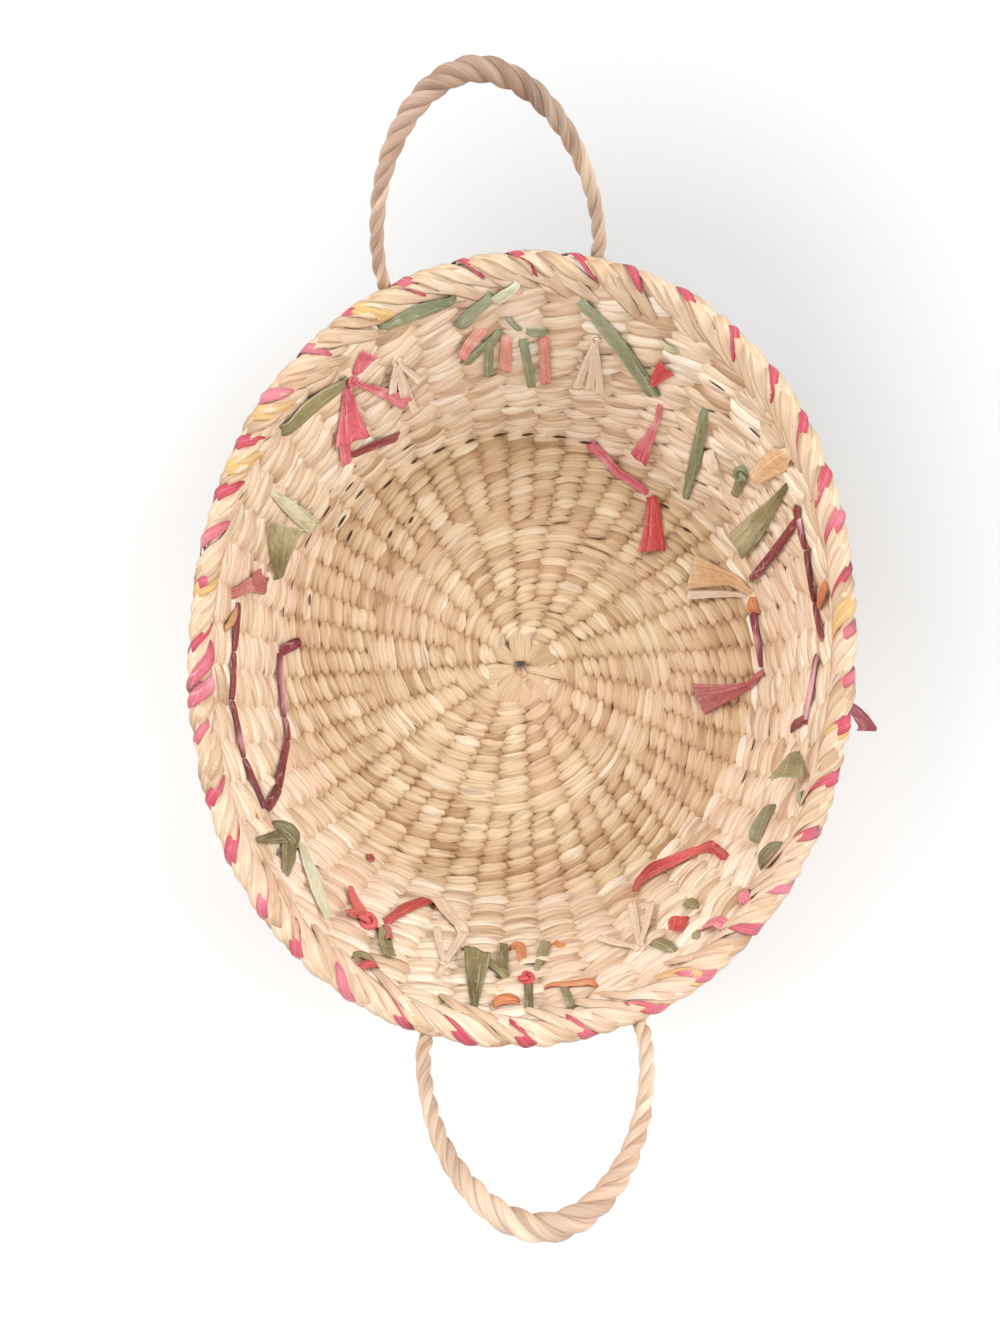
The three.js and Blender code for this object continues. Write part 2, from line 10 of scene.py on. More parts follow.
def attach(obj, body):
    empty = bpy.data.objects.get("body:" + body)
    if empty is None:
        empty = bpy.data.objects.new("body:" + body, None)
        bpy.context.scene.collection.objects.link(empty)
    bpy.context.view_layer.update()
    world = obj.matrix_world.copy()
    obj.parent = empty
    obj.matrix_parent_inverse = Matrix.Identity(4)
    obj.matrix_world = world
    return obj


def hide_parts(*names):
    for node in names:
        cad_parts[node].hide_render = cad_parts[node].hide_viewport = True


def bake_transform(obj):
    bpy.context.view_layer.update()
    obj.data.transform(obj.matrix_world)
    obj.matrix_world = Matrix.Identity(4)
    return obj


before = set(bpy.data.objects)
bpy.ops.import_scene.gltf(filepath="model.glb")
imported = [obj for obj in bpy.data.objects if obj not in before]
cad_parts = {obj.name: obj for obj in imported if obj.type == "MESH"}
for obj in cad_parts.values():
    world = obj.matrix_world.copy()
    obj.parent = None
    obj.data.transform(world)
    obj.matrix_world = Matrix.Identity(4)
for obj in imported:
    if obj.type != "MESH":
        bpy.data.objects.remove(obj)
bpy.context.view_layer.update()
MM = 0.001

# The basket's shape, as in the frame
FLOOR_RADIUS = 122
CORNER_RADIUS = 10
CORNER_LENGTH = 13.5
WALL_SLANT = 119
END_FOOT_LEAN, END_RIM_LEAN = 11, 23
SIDE_FOOT_LEAN, SIDE_RIM_LEAN = 15, -11
MOUTH_SKEW = 0.026
HALF_WEAVE = 3.3
WALL_FOOT = FLOOR_RADIUS + CORNER_LENGTH

# Weave: rows of twining in one spiral, with more stitches to a row as the stakes split
HUB_RADIUS = 12
FLOOR_ROWS, FLOOR_PITCH = 25, 4.6
WALL_PITCH, PITCH_GROWTH = 5.8, 0.115
LAST_ROW = 42.6
ZONES = [(0, 5, 12), (5, 15, 24), (15, LAST_ROW, 48)]
STITCH_STEPS = 8
STITCH_SIDES = 10
STITCH_DEPTH = 2.0
# Shares of the row pitch
STITCH_WIDTH, STITCH_THICKNESS = 1.44, 0.42
CROSS_THICKNESS = 0.52
# On the floor and on the wall
CROSS_WIDTH = 0.78, 0.84
STITCH_SLANT = 0.34, 0.34
STITCH_DIVE = 0.72, 0.68
# Painted shade: how much darker a stitch is painted towards its ends, where it dives between the stakes, on
# the floor and on the wall
PAINTED_END_SHADE = 0.38, 0.26
# How unevenly it is worked: how many stitches a length of straw lasts, how tones, widths and places spread
STRAW_LASTS = 6, 22
MIDDLE_TONE, LENGTH_TONE_SPREAD, STITCH_TONE_SPREAD = 0.55, 0.17, 0.12
WIDTH_SPREAD, DEPTH_SPREAD, ANGLE_SPREAD, RUN_SPREAD = 0.16, 0.04, 0.4, 0.08
DEPTH_LIMITS = -0.08, 0.05
# Wall rows drift against each other: degrees, and waves to a row. It starts over the wall's first few rows
ROW_DRIFT = [(0.8, 0.37), (0.4, 0.61)]
DRIFT_START = 4

# Stakes
STAKE_THICKNESS, STAKE_STEP = 1.7, 6
STAKE_TONES = 0.2, 0.9
STAKES = [
    # count, start, stop, width
    (12, 1.5, 38, 6.4), (24, 34, 84, 4.6), (48, 80, WALL_FOOT + 104, 3.4),
]

# Rim
RIM_MIDDLE = 113.4
RIM_HALF_HEIGHT, RIM_HALF_THICKNESS = 4.2, 1.9
CORE_STEPS, CORE_SIDES, CORE_TONE = 144, 12, 0.4
WRAP_TURNS = 40
WRAP_STEP = 360 / WRAP_TURNS
WRAP_POINTS, WRAP_SIDES = 24, 14
WRAP_LEAN = 0.8
WRAP_WIDTH = 0.94
WRAP_THICKNESS = 2.0
WRAP_LIFT = 0.3
WRAP_SIZE_SPREAD, WRAP_WANDER, WRAP_LIFT_SPREAD, WRAP_TONE_SPREAD = 0.15, 0.07, 0.25, 0.12
# Along one turn of the straw wrap, from the outside over the top to the inside; it is darkest at the outer
# top edge, as painted shade
WRAP_TONES = [0.5, 0.5, 0.35, 0.5, 0.7, 0.7, 0.6]

# Rope handles
LEG_ANGLES = {"back": (342.5, 15.0), "front": (196.7, 166.7)}
LEG_RADIUS, GRIP_RADIUS = 3.2, 4.9
LEG_FOOT = 36
LEG_OFFSET = 6.6
PIVOT_RISE = 4.5
ARCH_HEIGHT, ARCH_SQUARENESS, REST_LEAN = 73, 1.9, 40
ROPE_LAY = 28
ROPE_STEP = 1.3
LEG_POINTS, ARCH_POINTS = 60, 160
ROPE_STRANDS = 3
# Shares of the rope's radius
STRAND_OUT, STRAND_WIDTH, STRAND_THICKNESS = 0.52, 1.08, 0.98
ROPE_WAVES, ROPE_WOBBLE, ROPE_TONE_SPREAD = 40, 0.04, 0.14
ROPES = [
    # side, tone of the legs, tone of the grip, seed; the darker tones of the back rope and of the grips are
    # painted shade
    ("back", 0.48, 0.1, 41), ("front", 0.66, 0.5, 42),
]

# Raffia
DEGREES_PER_MM = 0.38
RAFFIA_THICKNESS = 0.3
STRIP_STEP = 1.4
# An end lies this deep in the weave, and rises by this much over this length
STRIP_SINK, STRIP_RISE, STRIP_RISE_LENGTH = 1.6, 2.9, 4
# High on the wall a strip lies over the leaves of the rim: from here, over this length, by this much
LEAVES_FROM, LEAVES_FADE, LEAVES_HEIGHT = 94, 8, 1.4
STRIP_TONES, STRIP_TONE_COUNT = (0.15, 0.65), 5
# Folds along a ribbon: half waves across it, more for each pleat, how uneven they are, and how deep, in
# millimetres and as a share of its half width
FOLD_WAVES, PLEAT_WAVES, FOLD_UNEVEN = 0.7, 0.5, 0.25
FOLD_DEPTH, FOLD_SHARE = 0.15, 0.04
RIBBON_COLUMNS, RIBBON_CROWN = 13, 0.3
# A loose half lies this high over the weave, and higher at its end, which is cut aslant and frays
LOOSE_HEIGHT, LOOSE_CURL = 1.3, 1.5
CUT_SLANT, FRAY = 0.35, 0.15
# A stitch goes this deep into its holes and rises by this much between them. It is narrower at its ends
SEWN_SINK, SEWN_RISE = 0.4, 1.8
SEWN_FLATNESS, SEWN_END_WIDTH = 0.42, 0.75
SEWN_WIDTH_RANGE, SEWN_EDGE_TONE = (0.95, 1.25), (0.05, 0.2)
# Shares of a knot's size: how far its strand sways, how high it lies, its width and its thickness
KNOT_SWAY, KNOT_HEIGHT, KNOT_WIDTH, KNOT_THICKNESS = 0.42, 0.55, 0.95, 0.8
KNOT_TONE = 0.2, 0.6

# Seeds of the random draws, one for each kind of piece. Copies count on from it. Wefts and ropes list theirs
STAKE_SEED, EYE_SEED = 21, 51
WRAP_SEED, PINK_SEED, LEAF_SEED = 31, 33, 35
RIBBON_SEED, TAIL_SEED, STITCH_SEED, KNOT_SEED = 100, 180, 200, 250
LASH_KNOT_SEED, LASH_END_SEED = 300, 310
FLOWER_EYE_SEED, PETAL_SEED = 400, 420


# Points of the woven sheet

def sheet_point(angle, run, inward):
    """Points of the sheet in metres: `run` goes out from the floor's centre and on up the wall."""
    angle, run, inward = np.broadcast_arrays(*(np.asarray(v, float) for v in (angle, run, inward)))
    turn = np.radians(angle)
    end = np.cos(turn) ** 2
    foot = np.radians(SIDE_FOOT_LEAN + (END_FOOT_LEAN - SIDE_FOOT_LEAN) * end)
    rim = np.radians(SIDE_RIM_LEAN + (END_RIM_LEAN - SIDE_RIM_LEAN) * end)
    up = np.maximum(run - WALL_FOOT, 0)
    corner = np.pi / 2 - np.clip((run - FLOOR_RADIUS) / CORNER_LENGTH, 0, 1) * (np.pi / 2 - foot)
    half_turn = (rim - foot) * up / WALL_SLANT / 2
    chord = up * np.sinc(half_turn / np.pi)
    radius = np.minimum(run, FLOOR_RADIUS) + CORNER_RADIUS * np.cos(corner) + chord * np.sin(foot + half_turn)
    radius = radius * (1 + MOUTH_SKEW * np.sin(2 * turn) * up / WALL_SLANT)
    height = HALF_WEAVE + CORNER_RADIUS * (1 - np.sin(corner)) + chord * np.cos(foot + half_turn)
    lean = corner + 2 * half_turn
    radius = radius - inward * np.cos(lean)
    height = height + inward * np.sin(lean)
    return np.stack([radius * np.sin(turn), radius * np.cos(turn), height], axis=-1) * MM


def sheet_normal(angle, run):
    """Unit vectors out of the sheet, towards the inside of the basket."""
    return unit(sheet_point(angle, run, 1.0) - sheet_point(angle, run, 0.0))


def unit(vectors):
    lengths = np.linalg.norm(vectors, axis=-1, keepdims=True)
    return vectors / np.maximum(lengths, 1e-12)


def lengths_along(points):
    steps = np.linalg.norm(np.diff(points, axis=0), axis=1)
    return np.concatenate([[0.0], np.cumsum(steps)])


def value_along(values, share):
    """Values at `share` of the way along an evenly spaced list."""
    return np.interp(share, np.linspace(0, 1, len(values)), values)


def eased(line, times):
    """A line of values or points with each inner one drawn towards its neighbours."""
    for _ in range(times):
        line[1:-1] = (line[:-2] + 2 * line[1:-1] + line[2:]) / 4
    return line


# Meshes from grids

def grid_piece(name, points, tones, along):
    """A grid bent through rows of points, with its tone and its own map: across, and metres along.
    Tones are one to a row, or one to a point."""
    rows, columns = points.shape[:2]
    tones = np.broadcast_to(np.reshape(tones, (rows, -1)), (rows, columns))
    bpy.ops.object.select_all(action="DESELECT")
    bpy.ops.mesh.primitive_grid_add(x_subdivisions=columns - 1, y_subdivisions=rows - 1, size=1)
    piece = bpy.context.object
    piece.name = piece.data.name = name
    mesh = piece.data
    mesh.vertices.foreach_set("co", points.astype(np.float32).ravel())
    across = np.tile(np.linspace(0, 1, columns), rows)
    lengthwise = np.repeat(along, columns)
    corners = np.zeros(len(mesh.loops), np.int32)
    mesh.loops.foreach_get("vertex_index", corners)
    uv = np.stack([across[corners], lengthwise[corners]], axis=-1)
    mesh.uv_layers[0].data.foreach_set("uv", uv.astype(np.float32).ravel())
    tone = mesh.attributes.new("tone", "FLOAT", "POINT")
    tone.data.foreach_set("value", tones.astype(np.float32).ravel())
    mesh.update()
    return piece


def close_up(piece):
    """Welds the seam and the drawn-in ends, and turns the faces outwards."""
    bpy.ops.object.mode_set(mode="EDIT")
    bpy.ops.mesh.select_all(action="SELECT")
    bpy.ops.mesh.remove_doubles(threshold=1e-7)
    bpy.ops.mesh.normals_make_consistent(inside=False)
    bpy.ops.object.mode_set(mode="OBJECT")
    bpy.ops.object.shade_smooth()
    return piece


def strand(name, centres, normals, widths, thicknesses, tones, sides=STITCH_SIDES):
    """A plump strand with an oval section, drawn shut at both ends. Points are metres, sizes millimetres."""
    run = unit(np.gradient(centres, axis=0))
    across = unit(np.cross(run, normals))
    lift = np.cross(across, run)
    open_ends = np.ones(len(centres))
    open_ends[[0, -1]] = 0
    half_width = (np.broadcast_to(widths, open_ends.shape) * open_ends * MM / 2)[:, None, None]
    half_thick = (np.broadcast_to(thicknesses, open_ends.shape) * open_ends * MM / 2)[:, None, None]
    turn = np.linspace(0, 2 * np.pi, sides + 1)[None, :, None]
    ring = across[:, None] * half_width * np.cos(turn) + lift[:, None] * half_thick * np.sin(turn)
    if np.ndim(tones) == 0:
        tones = np.full(len(centres), tones)
    return close_up(grid_piece(name, centres[:, None] + ring, tones, lengths_along(centres)))


def thickened(piece, thickness):
    thick = piece.modifiers.new("thickness", "SOLIDIFY")
    thick.thickness = thickness * MM
    thick.offset = 0
    bpy.ops.object.modifier_apply(modifier=thick.name)
    bpy.ops.object.shade_smooth()
    return piece


def joined(name, pieces):
    bpy.ops.object.select_all(action="DESELECT")
    for piece in pieces:
        piece.select_set(True)
    bpy.context.view_layer.objects.active = pieces[0]
    if len(pieces) > 1:
        bpy.ops.object.join()
    pieces[0].name = pieces[0].data.name = name
    return pieces[0]


def finish_piece(piece, material, body, nodes=()):
    piece.data.materials.clear()
    piece.data.materials.append(material)
    if body:
        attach(piece, body)
    if nodes:
        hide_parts(*nodes)


# Shader groups

def new_group(name, inputs, outputs):
    tree = bpy.data.node_groups.new(name, "ShaderNodeTree")
    for label, kind, value in inputs:
        socket = tree.interface.new_socket(label, in_out="INPUT", socket_type=kind)
        socket.default_value = value
    for label, kind in outputs:
        tree.interface.new_socket(label, in_out="OUTPUT", socket_type=kind)
    return tree, tree.nodes.new("NodeGroupInput"), tree.nodes.new("NodeGroupOutput")


def add_node(tree, kind, values=None, **settings):
    """A node with its settings, and its inputs as values or links from other sockets."""
    node = tree.nodes.new(kind)
    for key, setting in settings.items():
        setattr(node, key, setting)
    for key, value in (values or {}).items():
        if isinstance(value, bpy.types.NodeSocket):
            tree.links.new(value, node.inputs[key])
        else:
            node.inputs[key].default_value = value
    return node


def mix_colour(tree, factor, a, b):
    return add_node(tree, "ShaderNodeMix", {0: factor, 6: a, 7: b}, data_type="RGBA").outputs[2]


def math_node(tree, operation, a, b=0.0):
    return add_node(tree, "ShaderNodeMath", {0: a, 1: b}, operation=operation).outputs[0]


def remap(tree, value, low, high, new_low, new_high):
    values = {"Value": value, 1: low, 2: high, 3: new_low, 4: new_high}
    return add_node(tree, "ShaderNodeMapRange", values).outputs[0]


def make_fibre_group():
    """Fibres that run along a strand: fine lines, and broader folds whose creases the materials paint dark as
    shade.
    """
    number = "NodeSocketFloat"
    inputs = [("Lines", number, 26.0), ("Folds", number, 5.0), ("Breaks", number, 30.0)]
    outputs = [("Line", number), ("Fold", number), ("Height", number)]
    tree, start, end = new_group("fibre", inputs, outputs)
    place = add_node(tree, "ShaderNodeSeparateXYZ", {0: add_node(tree, "ShaderNodeUVMap").outputs[0]})
    along = math_node(tree, "MULTIPLY", place.outputs[1], start.outputs["Breaks"])
    found = {}
    for label, density, detail in (("Line", "Lines", 3.0), ("Fold", "Folds", 1.0)):
        across = math_node(tree, "MULTIPLY", place.outputs[0], start.outputs[density])
        spot = add_node(tree, "ShaderNodeCombineXYZ", {0: across, 1: along})
        values = {"Vector": spot.outputs[0], "Scale": 1.0, "Detail": detail, "Roughness": 0.6}
        noise = add_node(tree, "ShaderNodeTexNoise", values, noise_dimensions="2D")
        found[label] = remap(tree, noise.outputs[0], 0.3, 0.7, 0.0, 1.0)
        tree.links.new(found[label], end.inputs[label])
    half_lines = math_node(tree, "MULTIPLY", found["Line"], 0.4)
    tree.links.new(math_node(tree, "ADD", half_lines, found["Fold"]), end.inputs["Height"])
    return tree


def make_blotch_group():
    """Soft uneven patches over the whole basket, for stains and fading."""
    number = "NodeSocketFloat"
    tree, start, end = new_group("blotch", [("Scale", number, 14.0)], [("Patch", number)])
    place = add_node(tree, "ShaderNodeTexCoord").outputs["Object"]
    values = {"Vector": place, "Scale": start.outputs["Scale"], "Detail": 3.0, "Roughness": 0.55}
    noise = add_node(tree, "ShaderNodeTexNoise", values)
    tree.links.new(remap(tree, noise.outputs[0], 0.35, 0.65, 0.0, 1.0), end.inputs["Patch"])
    return tree


def make_crinkle_group():
    """Thin creases of a dry film-like ribbon, with painted glints where they catch the light here and there.
    """
    number = "NodeSocketFloat"
    inputs = [("Across", number, 3.0), ("Along", number, 150.0)]
    tree, start, end = new_group("crinkle", inputs, [("Glint", number), ("Height", number)])
    place = add_node(tree, "ShaderNodeSeparateXYZ", {0: add_node(tree, "ShaderNodeUVMap").outputs[0]})
    across = math_node(tree, "MULTIPLY", place.outputs[0], start.outputs["Across"])
    along = math_node(tree, "MULTIPLY", place.outputs[1], start.outputs["Along"])
    spot = add_node(tree, "ShaderNodeCombineXYZ", {0: across, 1: along})
    creases = add_node(tree, "ShaderNodeTexVoronoi", {"Vector": spot.outputs[0], "Scale": 1.0},
                       voronoi_dimensions="2D", feature="DISTANCE_TO_EDGE").outputs["Distance"]
    bright = add_node(tree, "ShaderNodeTexNoise", {"Vector": spot.outputs[0], "Scale": 0.7},
                      noise_dimensions="2D")
    here = remap(tree, bright.outputs[0], 0.42, 0.62, 0.0, 1.0)
    thin = remap(tree, creases, 0.0, 0.09, 1.0, 0.0)
    tree.links.new(math_node(tree, "MULTIPLY", here, thin), end.inputs["Glint"])
    tree.links.new(remap(tree, creases, 0.0, 0.3, 0.0, 1.0), end.inputs["Height"])
    return tree


FIBRE = make_fibre_group()
BLOTCH = make_blotch_group()
CRINKLE = make_crinkle_group()


def use_group(tree, group, **values):
    node = tree.nodes.new("ShaderNodeGroup")
    node.node_tree = group
    for key, value in values.items():
        node.inputs[key].default_value = value
    return node


def srgb(red, green, blue):
    """A colour written as it looks on a screen, 0 to 255, as linear light."""
    shares = [channel / 255 for channel in (red, green, blue)]
    linear = [s / 12.92 if s <= 0.04045 else ((s + 0.055) / 1.055) ** 2.4 for s in shares]
    return (*linear, 1.0)


def tone_ramp(tree, colours):
    """The colours of a strand from its darkest lengths to its palest."""
    tone = add_node(tree, "ShaderNodeAttribute", attribute_name="tone").outputs["Fac"]
    ramp = add_node(tree, "ShaderNodeValToRGB", {0: tone})
    ramp.color_ramp.elements[0].color = colours[0]
    ramp.color_ramp.elements[-1].color = colours[-1]
    for i, colour in enumerate(colours[1:-1], 1):
        ramp.color_ramp.elements.new(i / (len(colours) - 1)).color = colour
    return ramp.outputs[0]


# How dark the lines of a fibre are, how dark the painted shade in the creases of its folds is, how strong its
# stains, and its bumps in metres
LINE_SHADE, FOLD_SHADE, STAIN_SHARE = 0.34, 0.45, 0.28
STAIN_SCALE, BUMP_HEIGHT, FIBRE_SPECULAR = 16.0, 0.0006, 0.35


def plant_fibre(name, colours, crease, stain, lines, folds, breaks, roughness, bump, gleam, crinkled=0.0):
    """Straw, rope or raffia: toned strands with fibre lines, creases painted dark as shade, and faint stains.
    Crinkled is how much paler a raffia's painted glints are."""
    material = bpy.data.materials.new(name)
    material.use_nodes = True
    tree = material.node_tree
    surface = tree.nodes["Principled BSDF"]
    fibre = use_group(tree, FIBRE, Lines=lines, Folds=folds, Breaks=breaks)
    blotch = use_group(tree, BLOTCH, Scale=STAIN_SCALE)
    base = tone_ramp(tree, colours)
    line_shade = remap(tree, fibre.outputs["Line"], 0.0, 0.55, LINE_SHADE, 0.0)
    lined = mix_colour(tree, line_shade, base, crease)
    # The palest fibre lines are made paler still by gleam: paler fibres, and painted sheen along them
    line_shine = remap(tree, fibre.outputs["Line"], 0.55, 1.0, 0.0, gleam)
    lined = mix_colour(tree, line_shine, lined, colours[-1])
    # Painted shade in the creases of the folds
    fold_shade = remap(tree, fibre.outputs["Fold"], 0.0, 0.35, FOLD_SHADE, 0.0)
    folded = mix_colour(tree, fold_shade, lined, crease)
    patch = remap(tree, blotch.outputs["Patch"], 0.4, 1.0, 0.0, STAIN_SHARE)
    stained = mix_colour(tree, patch, folded, stain)
    height = fibre.outputs["Height"]
    if crinkled:
        crinkle = use_group(tree, CRINKLE)
        # Painted glints along the creases, mixed towards the palest colour
        glint = math_node(tree, "MULTIPLY", crinkle.outputs["Glint"], crinkled)
        stained = mix_colour(tree, glint, stained, colours[-1])
        height = math_node(tree, "ADD", height, crinkle.outputs["Height"])
    tree.links.new(stained, surface.inputs["Base Color"])
    rough = remap(tree, fibre.outputs["Line"], 0.0, 1.0, roughness + 0.12, roughness - 0.08)
    tree.links.new(rough, surface.inputs["Roughness"])
    values = {"Strength": bump, "Distance": BUMP_HEIGHT, "Height": height}
    tree.links.new(add_node(tree, "ShaderNodeBump", values).outputs[0], surface.inputs["Normal"])
    surface.inputs["Specular IOR Level"].default_value = FIBRE_SPECULAR
    return material


def straw_material(name, colours, bump=0.5):
    colours = [srgb(*colour) for colour in colours]
    return plant_fibre(name, colours, crease=srgb(150, 110, 78), stain=srgb(216, 172, 150),
                       lines=16.0, folds=4.0, breaks=26.0, roughness=0.6, bump=bump, gleam=0.25)


def raffia_material(name, dark, mid, pale, stain=None, gleam=0.45):
    dark, mid, pale, stain = (srgb(*colour) for colour in (dark, mid, pale, stain or pale))
    return plant_fibre(name, [dark, mid, mid, pale], crease=dark, stain=stain,
                       lines=8.0, folds=2.0, breaks=24.0, roughness=0.4, bump=0.5, gleam=gleam, crinkled=0.6)


STRAW = straw_material(
    "twined_straw", [(196, 164, 132), (229, 206, 178), (244, 227, 204), (252, 242, 225)])
# The floor's straw is the wall's straw written darker, as painted shade, and more golden
FLOOR_STRAW = straw_material(
    "floor_straw", [(184, 148, 110), (219, 191, 153), (236, 213, 178), (247, 231, 205)])
RIM_STRAW = straw_material("rim_straw", [(156, 122, 92), (214, 183, 150), (229, 205, 177), (244, 228, 207)])
GOLD_STRAW = straw_material("gold_straw", [(160, 118, 72), (220, 180, 116), (234, 204, 146)])
STAKE_STRAW = straw_material("stake_straw", [(196, 156, 118), (222, 186, 150), (236, 208, 176)])
# Nearly black straw, only for the painted shadow in the eyes between the stitches
EYE_SHADOW_STRAW = straw_material("painted_shadow_straw", [(46, 32, 24), (70, 50, 38), (104, 78, 60)])
# Its darkest colour is for the painted shade at the back rope's grip
ROPE_STRAW = straw_material(
    "rope_straw", [(128, 104, 90), (182, 158, 138), (218, 192, 166), (238, 218, 194)], bump=0.7)
RIM_PINK = raffia_material("rim_pink", (112, 38, 54), (190, 72, 88), (244, 188, 196))
RAFFIA_COLOURS = {
    # dark, middle, pale
    "pink": [(190, 66, 88), (219, 108, 124), (250, 200, 202)],
    "red": [(158, 44, 48), (208, 82, 84), (236, 150, 142)],
    "salmon": [(196, 106, 94), (218, 142, 128), (242, 202, 186)],
    "crimson": [(128, 46, 54), (182, 94, 98), (228, 164, 160)],
    "orange": [(186, 98, 58), (214, 136, 92), (240, 188, 146)],
    "green": [(98, 106, 74), (140, 144, 110), (214, 220, 194)],
    "olive": [(86, 78, 44), (146, 136, 96), (204, 196, 162)],
    "pale_green": [(168, 168, 130), (212, 210, 176), (242, 242, 222)],
    "natural": [(202, 172, 144), (234, 210, 186), (252, 242, 230)],
    "tan": [(196, 148, 100), (220, 178, 134), (242, 212, 176)],
    "white": [(196, 190, 180), (226, 223, 216), (242, 241, 238)],
}
RAFFIA = {colour: raffia_material(f"raffia_{colour}", *shades) for colour, shades in RAFFIA_COLOURS.items()}
RAFFIA["maroon"] = raffia_material("raffia_maroon", (96, 34, 42), (138, 60, 66), (240, 190, 204),
                                   stain=(150, 72, 80), gleam=0.15)


# Twined weave

def row_run(row):
    """How far out each row lies: even on the floor, and wider apart up the wall."""
    climb = np.maximum(row - FLOOR_ROWS, 0)
    on_floor = FLOOR_PITCH * np.minimum(row, FLOOR_ROWS)
    return HUB_RADIUS + on_floor + (WALL_PITCH + PITCH_GROWTH / 2 * climb) * climb


def weft(name, strand_share, first_row, last_row, shade, seed):
    """One of the two strands that twist round the stakes, from row to row without a break."""
    rng = np.random.default_rng(seed)
    rows, phases, counts = [], [], []
    done = 0
    for start, stop, stitches in ZONES:
        low, high = max(start, first_row), min(stop, last_row)
        if low >= high:
            continue
        steps = round((high - low) * stitches * STITCH_STEPS)
        row = low + (high - low) * np.arange(steps) / steps
        rows.append(row)
        phases.append(np.pi * ((row - start) * stitches - 0.5 + strand_share))
        counts.append(done + (row - low) * stitches)
        done += (high - low) * stitches
    row, phase, count = (np.concatenate(part) for part in (rows, phases, counts))
    stitch = np.floor(count + 1e-6).astype(int)
    total = stitch.max() + 2
    spots = np.arange(total) + 0.5

    def loose(amount):
        return np.interp(count, spots, rng.normal(0, amount, total))

    # A length of straw lasts for some stitches, and each stitch differs a little from the next.
    joins = np.cumsum(rng.integers(*STRAW_LASTS, total))
    straw_used = np.searchsorted(joins, np.arange(total))
    lengths = rng.normal(MIDDLE_TONE + shade, LENGTH_TONE_SPREAD, total)[straw_used]
    fullness = np.abs(np.cos(phase))
    on_wall = np.clip(row - FLOOR_ROWS, 0, 1)
    floor_and_wall = CROSS_WIDTH, STITCH_SLANT, STITCH_DIVE, PAINTED_END_SHADE
    cross_width, slant, dive, painted_end_shade = (floor + (wall - floor) * on_wall for floor, wall in floor_and_wall)
    stitch_tones = lengths + rng.normal(0, STITCH_TONE_SPREAD, total)
    # Each stitch is painted darker towards its ends, as painted shade where it dives between the stakes
    tones = np.clip(stitch_tones[stitch] - painted_end_shade * (1 - fullness) ** 1.6, 0, 1)
    pitch = np.where(row < FLOOR_ROWS, FLOOR_PITCH, WALL_PITCH + PITCH_GROWTH * (row - FLOOR_ROWS))
    widths = pitch * (cross_width + (STITCH_WIDTH - cross_width) * fullness) * (1 + loose(WIDTH_SPREAD))
    thicknesses = pitch * (CROSS_THICKNESS + (STITCH_THICKNESS - CROSS_THICKNESS) * fullness)
    deeper = np.clip(loose(DEPTH_SPREAD), *DEPTH_LIMITS)
    depth = STITCH_DEPTH * np.sign(np.cos(phase)) * fullness ** dive * (1 + deeper)
    drift = sum(size * np.sin(2 * np.pi * waves * row) for size, waves in ROW_DRIFT)
    angle = 360 * row + loose(ANGLE_SPREAD) + drift * np.clip((row - FLOOR_ROWS) / DRIFT_START, 0, 1)
    run = row_run(row) + pitch * (slant * np.sin(phase) + loose(RUN_SPREAD))
    centres = sheet_point(angle, run, depth)
    return strand(name, centres, sheet_normal(angle, run), widths, thicknesses, tones)


# The floor's strands run on for two stitches under the wall's
FLOOR_END = FLOOR_ROWS + 1 / 24
WEFTS = [
    # name, which of the two strands, first row, last row, shade, seed, node
    ("floor_weft_pale", 0, 0, FLOOR_END, 0.06, 11, "floor_inside_weft"),
    ("floor_weft_deep", 1, 0, FLOOR_END, -0.10, 12, "floor_underside_weft"),
    ("wall_weft_pale", 0, FLOOR_ROWS, LAST_ROW, 0.12, 13, "wall_inside_weft"),
    ("wall_weft_deep", 1, FLOOR_ROWS, LAST_ROW, -0.02, 14, "wall_outside_weft"),
]
for name, share, first_row, last_row, shade, seed, node in WEFTS:
    straw = FLOOR_STRAW if name.startswith("floor") else STRAW
    finish_piece(weft(name, share, first_row, last_row, shade, seed), straw, "basket", [node])


# Stakes: bundles from the hub, which split in two twice and then run up the wall

def stake_bar(angle, start, stop, width, tone):
    runs = np.linspace(start, stop, max(4, round((stop - start) / STAKE_STEP)))
    centres = sheet_point(angle, runs, 0.0)
    round_way = np.tile(sheet_point(angle + 90, 1.0, 0.0) - sheet_point(0, 0.0, 0.0), (len(runs), 1))
    normals = np.cross(unit(np.gradient(centres, axis=0)), round_way)
    return strand("stake", centres, normals, width, STAKE_THICKNESS, tone, sides=6)


def stakes():
    rng = np.random.default_rng(STAKE_SEED)
    bars = []
    for count, start, stop, width in STAKES:
        step = 360 / count
        for i in range(count):
            bars.append(stake_bar(step * (i + 0.5), start, stop, width, rng.uniform(*STAKE_TONES)))
    return joined("stakes", bars)


finish_piece(stakes(), STAKE_STRAW, "basket", ["stake_frame"])


# Hub: flat folded stake ends that meet at a small open eye and tuck under the first rows

HUB_EYE = (0.4, -3.5)
HUB_RISE, HUB_CROWN, HUB_THICKNESS = 2.5, 0.7, 0.7
# How far the outer ends tuck under, and the inner ends dip at the eye
HUB_TUCK, HUB_DIP = 2.6, 1.8
HUB_FLATS = [
    # way out of the eye, start, stop, widths, lift, tone
    (0, 4, 21, [9, 12, 13], 0.6, 0.4),
    (38, 4, 20, [4, 8, 10], 0.2, 0.3),
    (68, 5, 22, [6, 11, 12], 0.5, 0.16),
    (103, 3, 25, [3, 5.5, 5], 0.9, 0.6),
    (135, 4, 24, [5, 12, 15], 0.2, 0.42),
    (176, 5, 23, [4, 9, 11], 0.5, 0.5),
    (212, 4, 22, [7, 14, 16], 0.8, 0.38),
    (262, 4, 23, [5, 11, 12], 0.3, 0.45),
    (310, 5, 21, [4, 9, 12], 0.1, 0.34),
]


